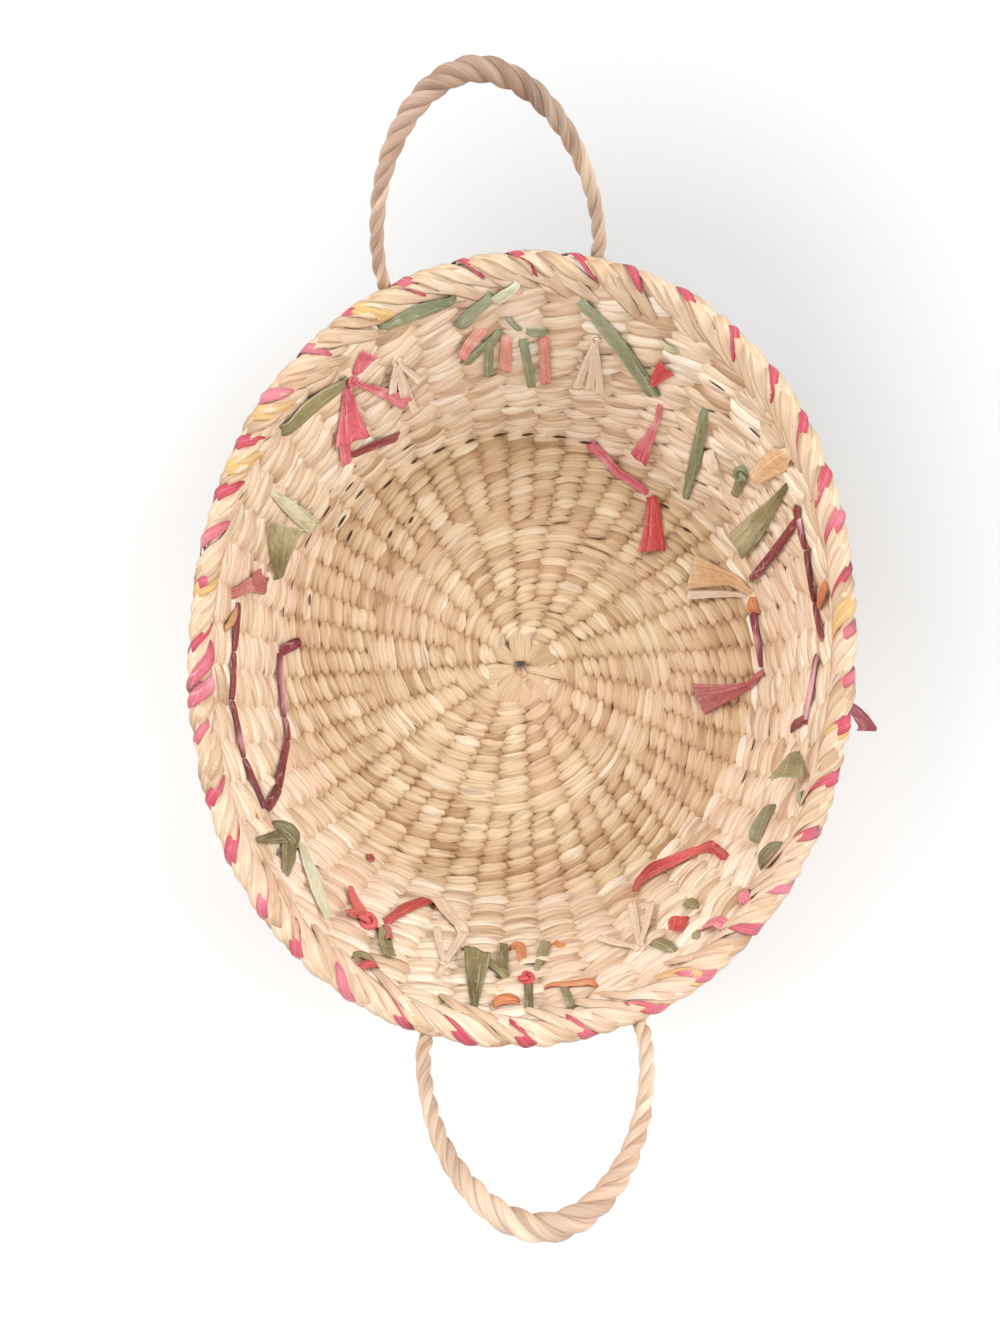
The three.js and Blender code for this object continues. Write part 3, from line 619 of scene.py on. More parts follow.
def hub_flat(way, start, stop, widths, lift, tone):
    share = np.linspace(0, 1, 12)
    out = (start + (stop - start) * share)[:, None]
    spread = np.linspace(-1, 1, 9)[None, :]
    round_end = np.sqrt(1 - 0.8 * np.clip(share * 4 - 3, 0, 1) ** 2)
    aside = (value_along(widths, share) * round_end / 2)[:, None] * spread
    turn = math.radians(way)
    x = HUB_EYE[0] + out * math.sin(turn) + aside * math.cos(turn)
    y = HUB_EYE[1] + out * math.cos(turn) - aside * math.sin(turn)
    tucked = HUB_TUCK * np.clip(share * 2.5 - 1.5, 0, 1) ** 2 + HUB_DIP * np.clip(1 - share * 3, 0, 1)
    z = HALF_WEAVE + HUB_RISE + lift - tucked[:, None] - HUB_CROWN * spread ** 2
    points = np.stack([x, y, np.broadcast_to(z, x.shape)], axis=-1) * MM
    flat = grid_piece("flat", points, np.full(len(share), tone), out[:, 0] * MM)
    return thickened(flat, HUB_THICKNESS)


finish_piece(joined("hub_flats", [hub_flat(*flat) for flat in HUB_FLATS]), FLOOR_STRAW, "basket")

# Dark strands in the eyes between the stitches, most of them round the foot of the wall: painted shadow where
# the eyes would look into the shade under the basket

EYE_DEPTH, EYE_THICKNESS = 3.45, 0.5
EYE_WIDTH, EYE_TIP, EYE_SLANT = 1.3, 0.2, 0.9
EYE_HALF_LENGTH, EYE_TONE = (1.3, 2.1), (0, 0.6)
# A row of them at the back: first angle, step, count, up the wall
ROW_START, ROW_STEP, ROW_COUNT, ROW_UP = 335.5, 7.5, 7, -8
# The others: angle, up the wall
EYES = [(290, -15.7), (318, -35.5), (327, -13), (41, 88), (51.6, 84), (55, -20), (71.8, -19), (46.2, -19.6),
        (113.9, 5), (121.7, 11), (336, 8), (320, -4), (319, 10), (311, 10), (312, -9), (303, 9), (310, -19),
        (326, -37), (292, 4), (285, 5)]


def eyes():
    rng = np.random.default_rng(EYE_SEED)
    spots = list(EYES)
    for i in range(ROW_COUNT):
        spots.append((ROW_START + ROW_STEP * i + rng.uniform(-0.6, 0.6), ROW_UP + rng.uniform(-1, 1)))
    along = np.linspace(-1, 1, 9)
    widths = EYE_WIDTH * np.sin(np.linspace(0, np.pi, 9)) + EYE_TIP
    slits = []
    for angle, up in spots:
        angles = angle + rng.uniform(*EYE_HALF_LENGTH) * along
        runs = WALL_FOOT + up + EYE_SLANT * along
        centres, normals = sheet_point(angles, runs, EYE_DEPTH), sheet_normal(angles, runs)
        slits.append(strand("slit", centres, normals, widths, EYE_THICKNESS, rng.uniform(*EYE_TONE), sides=6))
    return joined("painted_shadow_eyes", slits)


finish_piece(eyes(), EYE_SHADOW_STRAW, "basket")


# Rim: a core bound with a straw strand, leaves of straw folded over it, and pink raffia between them

def rim_point(angle, turn, out):
    """Points round the rim's section: turn 0 is the top, a quarter turn on is the inside."""
    turn = 2 * np.pi * np.asarray(turn)
    up = RIM_MIDDLE + (RIM_HALF_HEIGHT + out) * np.cos(turn)
    return sheet_point(angle, WALL_FOOT + up, (RIM_HALF_THICKNESS + out) * np.sin(turn))


def rim_core():
    angles = np.linspace(0, 360, CORE_STEPS + 1)
    turns = np.linspace(0, 1, CORE_SIDES + 1)
    points = rim_point(angles[:, None], turns[None, :], 0.0)
    along = lengths_along(points[:, 0])
    return close_up(grid_piece("rim_core_straw", points, np.full(len(angles), CORE_TONE), along))


def rim_wrap():
    """A straw strand wound round the rim and bent to its section, steeper outside than inside."""
    rng = np.random.default_rng(WRAP_SEED)
    turns = np.arange(WRAP_TURNS * WRAP_POINTS + 1) / WRAP_POINTS
    wraps = np.arange(WRAP_TURNS + 1)

    def loose(amount):
        return np.interp(turns, wraps, rng.normal(0, amount, len(wraps)))

    open_ends = np.ones(len(turns))
    open_ends[[0, -1]] = 0
    section = np.linspace(0, 2 * np.pi, WRAP_SIDES + 1)[None, :]
    advance = turns + WRAP_LEAN / (2 * np.pi) * np.sin(2 * np.pi * (turns - 0.05))
    half_width = WRAP_STEP * WRAP_WIDTH * np.clip(1 + loose(WRAP_SIZE_SPREAD), 0.5, 1.5) * open_ends / 2
    half_thick = WRAP_THICKNESS * (1 + loose(WRAP_SIZE_SPREAD)) * open_ends / 2
    angles = (WRAP_STEP * (advance + loose(WRAP_WANDER)))[:, None] + half_width[:, None] * np.cos(section)
    lifts = (WRAP_LIFT + loose(WRAP_LIFT_SPREAD))[:, None] + half_thick[:, None] * np.sin(section)
    points = rim_point(angles, turns[:, None], lifts)
    # Painted shade darkens the wrap at its outer top edge
    tones = np.clip(value_along(WRAP_TONES, (turns + 0.5) % 1) + loose(WRAP_TONE_SPREAD), 0, 1)
    return close_up(grid_piece("rim_straw_wraps", points, tones, lengths_along(points.mean(axis=1))))


# Ways over the rim, from the outside to the inside: degrees on, up the wall, inward
LEAF_WAY = np.array([
    (-4.6, 110, -3.4), (-3.6, 116, -3.4), (-2.4, 119.4, -1.4), (-0.8, 118.6, 1.8),
    (0.8, 113, 3.9), (2.6, 108, 4.1), (4.4, 102, 3.3), (5.4, 99, 1.8),
])
PINK_WAY = np.array([
    (-6.0, 106, -3.4), (-4.6, 112, -3.5), (-3.4, 116.6, -3.2), (-2.2, 119.2, -1.4), (-0.8, 118.6, 1.6),
    (0.6, 114.5, 3.5), (1.8, 110.5, 4.0),
])
# Places of the leaves and the pink strips, in shares of a wrap
LEAVES_TO_A_WRAP = 3
FIRST_LEAF, LEAF_STEP, LEAF_WANDER = 0.76, 0.24, 0.06
FIRST_PINK, PINK_WANDER = 0.5, 0.07
# Ranges that each leaf and pink strip is drawn from
LEAF_STRETCH, LEAF_DROP, LEAF_WIDTH = (1.1, 1.7), (0.6, 1.15), (6.0, 9.2)
LEAF_TONE, LEAF_LIFT = (0.45, 0.95), (0, 0.25)
PINK_STRETCH, PINK_DROP, PINK_WIDTH, PINK_TONE = (0.7, 1.15), (0.55, 1.0), (3.4, 6.2), (0.3, 0.7)
LEAF_THICKNESS, PINK_THICKNESS, PINK_LIFT = 0.85, 0.5, 0.85
# How much darker a leaf is painted outside than inside, as painted shade, where along it the painted shade
# ends, and how far it fades
OUTSIDE_PAINTED_SHADE, OUTSIDE_END, OUTSIDE_FADE = 0.55, 0.62, 0.5


def rim_leaf(way, angle, stretch, drop, width, thickness, tone, lift):
    """A pointed strip folded over the rim, painted darker outside as shade. Drop is how far down the wall its
    ends go.
    """
    ups = WALL_SLANT - (WALL_SLANT - way[:, 1]) * drop
    points = sheet_point(angle + stretch * way[:, 0], WALL_FOOT + ups, way[:, 2])
    roots = sheet_point(angle + stretch * way[:, 0], WALL_FOOT + np.minimum(ups, RIM_MIDDLE), 0.0)
    share = np.linspace(0, 1, 22)
    centres = np.stack([value_along(points[:, i], share) for i in range(3)], axis=-1)
    stems = np.stack([value_along(roots[:, i], share) for i in range(3)], axis=-1)
    centres = eased(centres, 4)
    centres = centres + lift * MM * unit(centres - stems)
    widths = width * np.sin(np.pi * np.clip(share, 0.02, 0.98)) ** 0.6
    # Painted shade on the outer side of the rim, for the leaves, the pink strips and the folds
    outside = np.clip(OUTSIDE_END - share, 0, OUTSIDE_FADE) / OUTSIDE_FADE
    tones = np.clip(tone - OUTSIDE_PAINTED_SHADE * outside, 0, 1)
    return strand("leaf", centres, unit(centres - stems), widths, thickness, tones, sides=8)


def rim_leaves():
    rng = np.random.default_rng(LEAF_SEED)
    leaves = []
    for i in range(WRAP_TURNS * LEAVES_TO_A_WRAP):
        wrap, leaf = divmod(i, LEAVES_TO_A_WRAP)
        place = wrap + FIRST_LEAF + LEAF_STEP * leaf + rng.normal(0, LEAF_WANDER)
        leaves.append(rim_leaf(
            LEAF_WAY, WRAP_STEP * place, rng.uniform(*LEAF_STRETCH), rng.uniform(*LEAF_DROP),
            rng.uniform(*LEAF_WIDTH), LEAF_THICKNESS, rng.uniform(*LEAF_TONE), rng.uniform(*LEAF_LIFT)))
    return joined("rim_leaves", leaves)


def rim_pinks():
    rng = np.random.default_rng(PINK_SEED)
    strips = []
    for i in range(WRAP_TURNS):
        place = WRAP_STEP * (i + FIRST_PINK + rng.normal(0, PINK_WANDER))
        strips.append(rim_leaf(
            PINK_WAY, place, rng.uniform(*PINK_STRETCH), rng.uniform(*PINK_DROP),
            rng.uniform(*PINK_WIDTH), PINK_THICKNESS, rng.uniform(*PINK_TONE), PINK_LIFT))
    return joined("rim_pink_strips", strips)


finish_piece(rim_core(), STAKE_STRAW, "basket", ["rim_core"])
finish_piece(rim_wrap(), RIM_STRAW, "basket", ["whipping_straw"])
finish_piece(rim_leaves(), RIM_STRAW, "basket")
finish_piece(rim_pinks(), RIM_PINK, "basket", ["whipping_pink"])


# A few golden leaves, and a fold of pink raffia that stands out from the rim at the left

# Stretch, drop, width, thickness, tone and lift of each golden leaf
GOLD_LEAF = 0.9, 0.75, 7.5, 0.8, 0.75, 0.55
GOLD_ANGLES = [338.7, 315.5, 305.3, 283.4, 91, 112.5, 158]
golds = [rim_leaf(LEAF_WAY, angle, *GOLD_LEAF) for angle in GOLD_ANGLES]
finish_piece(joined("rim_gold_leaves", golds), GOLD_STRAW, "basket")
RIM_FOLDS = [
    # angle, then as for a golden leaf
    (268, 1.0, 0.3, 5.5, 1.3, 0.7, 1.4), (263.5, 0.6, 0.4, 6.5, 1.3, 0.85, 1.4),
]
folds = joined("rim_pink_folds", [rim_leaf(LEAF_WAY, *fold) for fold in RIM_FOLDS])
finish_piece(folds, RIM_PINK, "basket")


# Rope handles: three strands twisted together, from the leg on the wall up and over to the other leg

def leg_line(angle):
    ups = np.linspace(LEG_FOOT, WALL_SLANT + PIVOT_RISE, LEG_POINTS)
    return sheet_point(angle, WALL_FOOT + ups, -LEG_OFFSET)


def arch_line(left, right):
    middle = (left + right) / 2
    across = unit(right - left)
    flat = unit(np.array([across[1], -across[0], 0.0]))
    if flat @ middle < 0:
        flat = -flat
    upright = unit(np.cross(across, flat))
    if upright[2] < 0:
        upright = -upright
    lean = math.radians(REST_LEAN)
    rise = upright * math.cos(lean) + flat * math.sin(lean)
    turn = np.linspace(0, np.pi, ARCH_POINTS)[1:-1]
    power = 2 / ARCH_SQUARENESS
    sideways = -np.sign(np.cos(turn)) * np.abs(np.cos(turn)) ** power * np.linalg.norm(right - left) / 2
    height = np.sin(turn) ** power * ARCH_HEIGHT * MM
    return middle + sideways[:, None] * across + height[:, None] * rise, np.cross(across, rise)


def evenly(points, step):
    """The same line with points at even steps, eased round its corners."""
    along = lengths_along(points)
    spots = np.linspace(0, along[-1], round(along[-1] / step))
    even = np.stack([np.interp(spots, along, points[:, i]) for i in range(3)], axis=-1)
    return eased(even, 6)


def rope(name, side, leg_tone, grip_tone, seed):
    rng = np.random.default_rng(seed)
    left, right = (leg_line(angle) for angle in LEG_ANGLES[side])
    arch, facing = arch_line(left[-1], right[-1])
    line = evenly(np.concatenate([left, arch, right[::-1]]), ROPE_STEP * MM)
    along = lengths_along(line)
    legs = np.array([lengths_along(left)[-1], along[-1] - lengths_along(right)[-1]])
    share = np.clip((along - legs[0]) / (legs[1] - legs[0]), 0, 1)
    grip = np.sin(np.pi * share) ** 3
    radius = LEG_RADIUS + (GRIP_RADIUS - LEG_RADIUS) * grip
    run = unit(np.gradient(line, axis=0))
    u = unit(np.cross(run, facing))
    v = np.cross(run, u)
    waves = np.linspace(0, along[-1], ROPE_WAVES)
    strands = []
    for i in range(ROPE_STRANDS):
        turn = 2 * np.pi * (along / (ROPE_LAY * MM) + i / ROPE_STRANDS)
        out = np.cos(turn)[:, None] * u + np.sin(turn)[:, None] * v
        wobble = 1 + np.interp(along, waves, rng.normal(0, ROPE_WOBBLE, ROPE_WAVES))
        centres = line + out * (radius * STRAND_OUT * wobble * MM)[:, None]
        # Tones blend from the legs' to the grip's, and the darker grip is painted shade
        tones = leg_tone + (grip_tone - leg_tone) * grip
        tones = np.clip(tones + np.interp(along, waves, rng.normal(0, ROPE_TONE_SPREAD, ROPE_WAVES)), 0, 1)
        strands.append(strand(name, centres, out, radius * STRAND_WIDTH, radius * STRAND_THICKNESS, tones))
    return joined(name, strands)


for side, leg_tone, grip_tone, seed in ROPES:
    twisted = rope(f"handle_{side}_rope", side, leg_tone, grip_tone, seed)
    nodes = [f"handle_{side}_grip", f"leg_{side}_left", f"leg_{side}_right"]
    finish_piece(twisted, ROPE_STRAW, None, nodes)
    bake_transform(twisted)


# Raffia embroidery: ribbons and stitches that lie on the weave, tucked in at their holes or with loose ends

def full_stops(stops):
    """Stops as rows of angle, up the wall and off the wall, which is 0 where a stop leaves it out."""
    return np.array([(*stop, 0)[:3] for stop in stops], float)


def strip_path(stops, face):
    """Angles, runs and heights along a strip that goes into the weave at both ends."""
    stops = full_stops(stops)
    corners = sheet_point(stops[:, 0], WALL_FOOT + stops[:, 1], face * (HALF_WEAVE + stops[:, 2]))
    along = lengths_along(corners)
    spots = np.linspace(0, along[-1], max(12, round(along[-1] / (STRIP_STEP * MM))))
    angle, up, off = (np.interp(spots, along, stops[:, i]) for i in range(3))
    from_end = np.minimum(spots, along[-1] - spots) / MM
    height = HALF_WEAVE - STRIP_SINK + STRIP_RISE * np.clip(from_end / STRIP_RISE_LENGTH, 0, 1) ** 0.6
    angle, up = eased(angle, 12), eased(up, 12)
    over_leaves = LEAVES_HEIGHT * np.clip((up - LEAVES_FROM) / LEAVES_FADE, 0, 1)
    return angle, WALL_FOOT + up, height + off + over_leaves, spots / along[-1]


def strip_tones(tones, share, rng):
    """How pale the strip is along its length: its own tones, or a slow wander of its own."""
    if tones is None:
        tones = rng.uniform(*STRIP_TONES, STRIP_TONE_COUNT)
    return np.clip(value_along(tones, share), 0, 1)


def ribbon(name, stops, widths, loose=False, pleats=0, tilt=0, face=1, tones=None, seed=0):
    """A flat ribbon through stops of (angle, up the wall). Face 1 is the inside of the wall, -1 the outside.
    Tilt turns it off the wall, with its lower edge out."""
    rng = np.random.default_rng(seed)
    angle, run, height, share = strip_path(stops, face)
    if loose:
        lifted = np.maximum(height.max(), HALF_WEAVE + LOOSE_HEIGHT) + LOOSE_CURL * (2 * share - 1) ** 2
        height = np.where(share > 0.5, lifted, height)
    centres = sheet_point(angle, run, face * height)
    normals = sheet_normal(angle, run) * face
    tangents = unit(np.gradient(centres, axis=0))
    across = unit(np.cross(tangents, normals))
    spread = np.linspace(-1, 1, RIBBON_COLUMNS)[None, :]
    half = (value_along(widths, share) * MM / 2)[:, None]
    phase = rng.uniform(0, 2 * np.pi)
    wave = np.pi * (FOLD_WAVES + PLEAT_WAVES * pleats) * (spread + FOLD_UNEVEN * spread ** 2) + phase
    fold = np.cos(wave) * (FOLD_DEPTH * MM + FOLD_SHARE * half)
    lean = math.radians(tilt)
    lower = -np.sign(across[:, 2:3] + 1e-9)
    lift = fold - RIBBON_CROWN * MM * spread ** 2 + half * (1 + lower * spread) * math.sin(lean)
    points = centres[:, None] + across[:, None] * (half * spread * math.cos(lean))[..., None]
    points = points + normals[:, None] * lift[..., None]
    if loose:
        slanted = rng.uniform(-CUT_SLANT, CUT_SLANT) * half[-1] * spread
        cut = slanted + rng.normal(0, FRAY * MM, RIBBON_COLUMNS)
        frayed = cut * np.clip(share * 3 - 2, 0, 1)[:, None]
        points = points + tangents[:, None] * frayed[..., None]
    piece = grid_piece(name, points, strip_tones(tones, share, rng), lengths_along(centres))
    return thickened(piece, RAFFIA_THICKNESS)


def stitch(name, stops, widths, tones=None, seed=0):
    """Flat running stitches, one from each hole in the wall to the next, with one edge paler."""
    rng = np.random.default_rng(seed)
    share = np.concatenate([[0], np.linspace(0.03, 0.97, 14), [1]])
    bulge = np.sin(np.pi * np.clip(share, 0.03, 0.97)) ** 0.25
    edges = np.cos(np.linspace(0, 2 * np.pi, STITCH_SIDES + 1))[None, :]
    stops = full_stops(stops)
    lengths = lengths_along(sheet_point(stops[:, 0], WALL_FOOT + stops[:, 1], HALF_WEAVE))
    parts = []
    for i, (start, end) in enumerate(zip(stops, stops[1:])):
        angles, ups, off = (start + (end - start) * share[:, None]).T
        runs = WALL_FOOT + ups
        whole = (lengths[i] + (lengths[i + 1] - lengths[i]) * share) / lengths[-1]
        plump = SEWN_END_WIDTH + (1 - SEWN_END_WIDTH) * bulge
        width = value_along(widths, whole) * plump * rng.uniform(*SEWN_WIDTH_RANGE)
        centres = sheet_point(angles, runs, HALF_WEAVE - SEWN_SINK + SEWN_RISE * bulge + off)
        tone = strip_tones(tones, whole, rng)[:, None]
        tone = np.clip(tone + rng.choice([-1, 1]) * rng.uniform(*SEWN_EDGE_TONE) * edges, 0, 1)
        parts.append(strand(name, centres, sheet_normal(angles, runs), width, SEWN_FLATNESS * width, tone))
    return joined(name, parts)


def knot(name, angle, up, size, face=1, seed=0):
    """A small tight knot on the weave: a strand that goes twice round and crosses itself three times."""
    turn = np.linspace(0, 2 * np.pi, 61)
    wide = 1 + KNOT_SWAY * np.cos(3 * turn)
    spots = (angle + size * wide * np.cos(2 * turn) * DEGREES_PER_MM,
             WALL_FOOT + up + size * wide * np.sin(2 * turn))
    out = HALF_WEAVE + size * (KNOT_HEIGHT + KNOT_SWAY * np.sin(3 * turn))
    tone = np.random.default_rng(seed).uniform(*KNOT_TONE)
    centres = sheet_point(*spots, face * out)
    normals = sheet_normal(*spots)
    return strand(name, centres, normals, size * KNOT_WIDTH, size * KNOT_THICKNESS, tone, sides=8)


RIBBONS = [
    # name, colour, loose end, pleats, stops of (angle, up the wall), widths along it, tilt
    ("leaf_back_low", "green", False, 1, [(339, 106), (353, 104)], [3, 6, 8.5, 7.5, 4], 0),
    ("leaf_back_high", "green", False, 1, [(352, 85), (359, 102)], [5, 7.5, 6.5, 4], 0),
    ("leaf_back_tip", "pale_green", False, 1, [(358.5, 97), (363.5, 108)], [5.5, 6, 3], 0),
    ("petal_back_slant", "salmon", True, 0, [(357, 84), (352, 67)], [6.5, 6.5, 5], 0),
    ("petal_back_dark", "green", True, 0, [(358, 77), (357, 51)], [4.3, 4.6], 0),
    ("stitch_back_green", "green", False, 0, [(360, 79), (352, 59)], [3.6, 5, 4.6], 0),
    ("petal_back_red", "salmon", True, 0, [(1, 75), (0.5, 53)], [5.3, 6], 0),
    ("petal_back_green", "green", True, 0, [(4, 74), (6, 40)], [4.3, 4.6], 0),
    ("petal_back_low", "salmon", True, 0, [(8, 74), (9, 43)], [5.3, 5.2], 0),
    ("stitch_back_bar", "green", False, 0, [(4, 78), (9, 77)], [3.5, 4.4, 2.6], 0),
    ("stitch_back_hook", "green", False, 0, [(1, 88), (4, 77)], [2.2, 2.8], 0),
    ("leaf_back_right", "green", False, 1, [(13.5, 100), (32, 53)], [4.5, 8, 8.5, 7], 0),
    ("leaf_back_small", "pale_green", False, 0, [(28.5, 90), (33, 91)], [3, 5.4, 2.8], 0),
    ("fan_back_right", "red", True, 2, [(29.5, 57), (31.5, 80)], [2.1, 6, 10], 0),
    ("tail_right_pink", "pink", True, 2, [(33, 52), (34, 39), (34, 1)], [2.7, 3.1, 6.4, 11], 0),
    ("ribbon_floor_pink", "pink", False, 1, [(20.5, -7), (30, -19), (41, -20)], [5, 5, 4.5, 3.3], 0),
    ("tail_floor_red", "red", True, 2, [(41.5, -19), (53.5, -43)], [5.4, 9.8, 14.6], 0),
    ("leaf_right_high", "green", False, 1, [(41.5, 67), (49, -8)], [4.5, 6, 7, 6, 3.3], 0),
    ("scrap_right", "natural", True, 2, [(46.5, 43), (50.5, 37)], [5, 8, 5], 30),
    ("stitch_right_olive", "olive", True, 0, [(55.4, 49), (57, 36)], [6, 5], 0),
    ("strip_right_tan", "tan", True, 1, [(59, 104), (57.5, 62)], [5, 12, 10, 7], 0),
    ("leaf_right_olive", "olive", True, 1, [(63, 86), (66, 9)], [2, 6.3, 12.5, 15], 0),
    ("fan_floor_tan", "tan", True, 3, [(77.5, 2), (66, -32)], [2.9, 7.7, 19.8], 0),
    ("fan_floor_pale", "natural", True, 1, [(78, -4), (72, -39)], [1.6, 3.8, 5], 0),
    ("fan_floor_crimson", "crimson", True, 3, [(96, 0), (99, -10), (106, -39)], [3, 4.3, 10.7, 18], 0),
    ("fan_right_olive", "olive", True, 2, [(114.5, 68), (121.5, 97)], [2.5, 10, 15], 55),
    ("hook_right", "green", False, 0, [(122, 95), (124.5, 99)], [4, 3], 0),
    ("leaf_front_right_low", "olive", False, 1, [(125.6, 67), (134, 74)], [3, 6, 6.5], 45),
    ("leaf_front_right_high", "olive", False, 1, [(132.5, 106), (137.6, 94)], [3.5, 6, 6.5], 30),
    ("ribbon_front_right", "red", False, 1, [(158, 17), (151.7, 11), (142, 24), (139.3, 35), (139.5, 56)],
     [3, 7.5, 6, 3.5, 7, 6], 35),
    ("petal_front_right", "red", True, 2, [(153, 73), (156, 86)], [7, 9, 5], 20),
    ("petal_front_high", "pink", False, 1, [(152, 92), (149, 101), (148.7, 106)], [5, 5.6, 6], 0),
    ("stitch_front_small", "olive", False, 0, [(152.3, 91), (153.7, 98)], [3, 4], 0),
    ("stitch_front_right", "olive", False, 1, [(160, 76), (158.6, 86), (157.5, 95)], [6, 6, 3.5], 0),
    ("leaf_front_small", "olive", False, 1, [(150.8, 60), (150, 74)], [4.5, 5.5, 2.3], 0),
    ("stitch_rim_red", "pink", False, 0, [(142, 98), (143.7, 106)], [4.5, 6], 0),
    ("fan_front_olive", "olive", True, 2, [(190.8, 104), (191.7, 63)], [3, 6, 10, 13], 0),
    ("stitch_front_olive", "olive", False, 1, [(194.3, 54), (185.8, 78)], [4, 5.5, 4.5], 0),
    ("petal_front_dark", "olive", False, 0, [(187, 46), (186.6, 76)], [3.9, 4], 0),
    ("petal_front_rust", "orange", False, 1, [(185.7, 51), (183.8, 48), (183.3, 67)], [4.8, 4.8, 3.7], 0),
    ("petal_front_leaf", "olive", False, 0, [(178.5, 45), (181, 75)], [4.2, 4.6, 2.1], 0),
    ("petal_front_blob", "orange", False, 1, [(177.5, 53), (175, 50)], [6, 8], 0),
    ("petal_front_orange", "orange", False, 1, [(188, 98), (183.5, 96)], [6, 8, 6], 0),
    ("petal_front_green", "olive", False, 0, [(182.4, 82), (182.4, 102)], [4, 4], 0),
    ("stitch_front_orange", "orange", False, 1, [(180, 86), (176, 89), (171, 91)], [2.5, 4, 5.4], 0),
    ("stitch_front_green", "olive", False, 0, [(176.8, 87), (176, 105)], [2.7, 3.9, 3.4], 0),
    ("scrap_front", "natural", False, 1, [(184.5, 66), (178, 63)], [4, 7, 4], 0),
    ("petal_front_left", "red", False, 1, [(209.6, 58), (207.3, 33), (203.8, 15)], [4, 6.5, 7], 0),
    ("petal_left_short", "red", True, 1, [(214.4, 64), (216.4, 77)], [7, 7, 3.5], 0),
    ("petal_left_up", "red", True, 0, [(213.4, 67), (216, 60), (219, 53)], [8, 7.5, 3.5], 0),
    ("petal_left_down", "crimson", True, 0, [(209.5, 60), (207.4, 76)], [3.4, 4.3], 0),
    ("leaf_front_left", "olive", True, 1, [(210, 65), (206, 89)], [4.4, 6.5, 5.6], 0),
    ("stitch_left_green", "olive", False, 0, [(211.5, 100), (207.5, 94)], [3, 5, 3], 0),
    ("petal_left_high", "red", False, 1, [(209.6, 107), (208.5, 103), (207, 96)], [3, 5.5, 3.5], 0),
    ("scrap_front_left", "natural", True, 1, [(195, 40), (202.6, 15)], [7, 9], 0),
    ("leaf_left_olive", "olive", False, 1, [(234.5, 59), (228.3, 92)], [9, 9, 3], 0),
    ("leaf_left_side", "olive", False, 1, [(236, 99), (234.5, 59)], [2.3, 6.4, 8], 0),
    ("leaf_left_upper", "olive", False, 1, [(238, 69), (232, 60)], [4, 8, 7], 40),
    ("strip_left_pale", "pale_green", True, 1, [(232.4, 55), (225, 73), (218, 93)], [3.5, 6, 6, 3.5], 25),
    ("fan_left_white", "white", True, 1, [(231.6, 54), (226.4, 61)], [2.5, 7, 14], 0),
    ("fold_left_crimson", "crimson", False, 1, [(283.6, 75), (287.3, 56), (289, 30)], [5, 8, 9], 0),
    ("fold_left_up", "crimson", True, 1, [(287.6, 47), (290.4, 59)], [8, 4], 40),
    ("fan_left_olive", "olive", True, 2, [(291, 24), (301.4, 60)], [3, 8, 13, 16], 60),
    ("leaf_left_pale", "pale_green", True, 1, [(305.4, 73), (306, 15)], [3.2, 6.4, 8.1, 8.9], 0),
    ("petal_back_left_high", "pink", True, 2, [(331.4, 87), (336, 96)], [3, 7, 10], 0),
    ("petal_back_left", "pink", True, 1, [(331.5, 82), (339, 49)], [1.7, 5.6, 8.5], 0),
    ("fan_back_left", "pink", True, 3, [(329.4, 84), (325, 47)], [3.8, 10.7, 20], 0),
    ("tail_back_left", "pink", True, 1, [(325, 57), (321.4, 34)], [8, 6], 0),
    ("stitch_back_left", "crimson", False, 1, [(322.7, 35), (335.5, 22)], [4.5, 6.5, 6], 0),
    ("leaf_back_left", "olive", False, 1, [(330.6, 87), (314.7, 99)], [5, 10, 12, 8], 0),
    ("patch_right_orange", "orange", False, 1, [(77.6, -1), (82.6, -2)], [6, 9, 7], 0),
    ("stitch_right_tip", "maroon", False, 0, [(108, 68), (109.6, 46)], [5, 5.6, 5.6], 0),
]
# A tail that hangs from a hole under the rim, outside on the right
TAIL_STOPS = [(104.4, 95, 0), (107.4, 89.6, 8), (108.4, 88, 12)]
TAIL_WIDTHS, TAIL_TONES = [4, 8, 9.5], [0.15, 0.4, 0.3]
STITCHES = [
    # name, colour, stops, widths
    ("stitch_right_slant", "maroon", [(67.5, 86), (69.3, 80), (74.5, 4)], [4, 5.4, 5]),
    ("stitch_right_long", "maroon", [(69.3, 82), (75.3, 77), (85.6, 74), (93.4, 84)], [4, 4.4, 4.6, 4.6]),
    ("stitch_right_end", "maroon", [(95.3, 73), (108.5, 67)], [4.6, 5.2, 5]),
    ("stitch_right_orange", "orange", [(84.2, 109, 2), (86.7, 80, 0)], [4.5, 5.5, 4]),
    ("stitch_right_low", "maroon", [(81.7, -4), (95.4, -1)], [4.5, 4.5, 3]),
    ("stitch_left_high", "maroon", [(282.8, 65), (272.8, 63), (263, 69), (251.4, 69), (241, 68)],
     [4.4, 5, 5, 4.6]),
    ("stitch_left_low", "maroon", [(241, 66), (244.4, 40), (254.4, 7), (259.7, 4), (275.6, 3), (278.8, -16)],
     [4.4, 5, 4.6, 4.6, 5]),
    ("stitch_left_orange", "tan", [(281, 66), (276.3, 80)], [4, 5.5, 4]),
]
KNOTS = [
    # name, colour, angle, up the wall, size
    ("knot_right_green", "green", 55, 52, 3.0),
    ("knot_front_red", "red", 182.6, 81, 2.3),
    ("knot_left_red", "red", 212.5, 70, 3.2),
    ("knot_left_small", "crimson", 220.6, 8, 1.8),
    ("knot_back_left", "pink", 331, 85, 1.8),
]
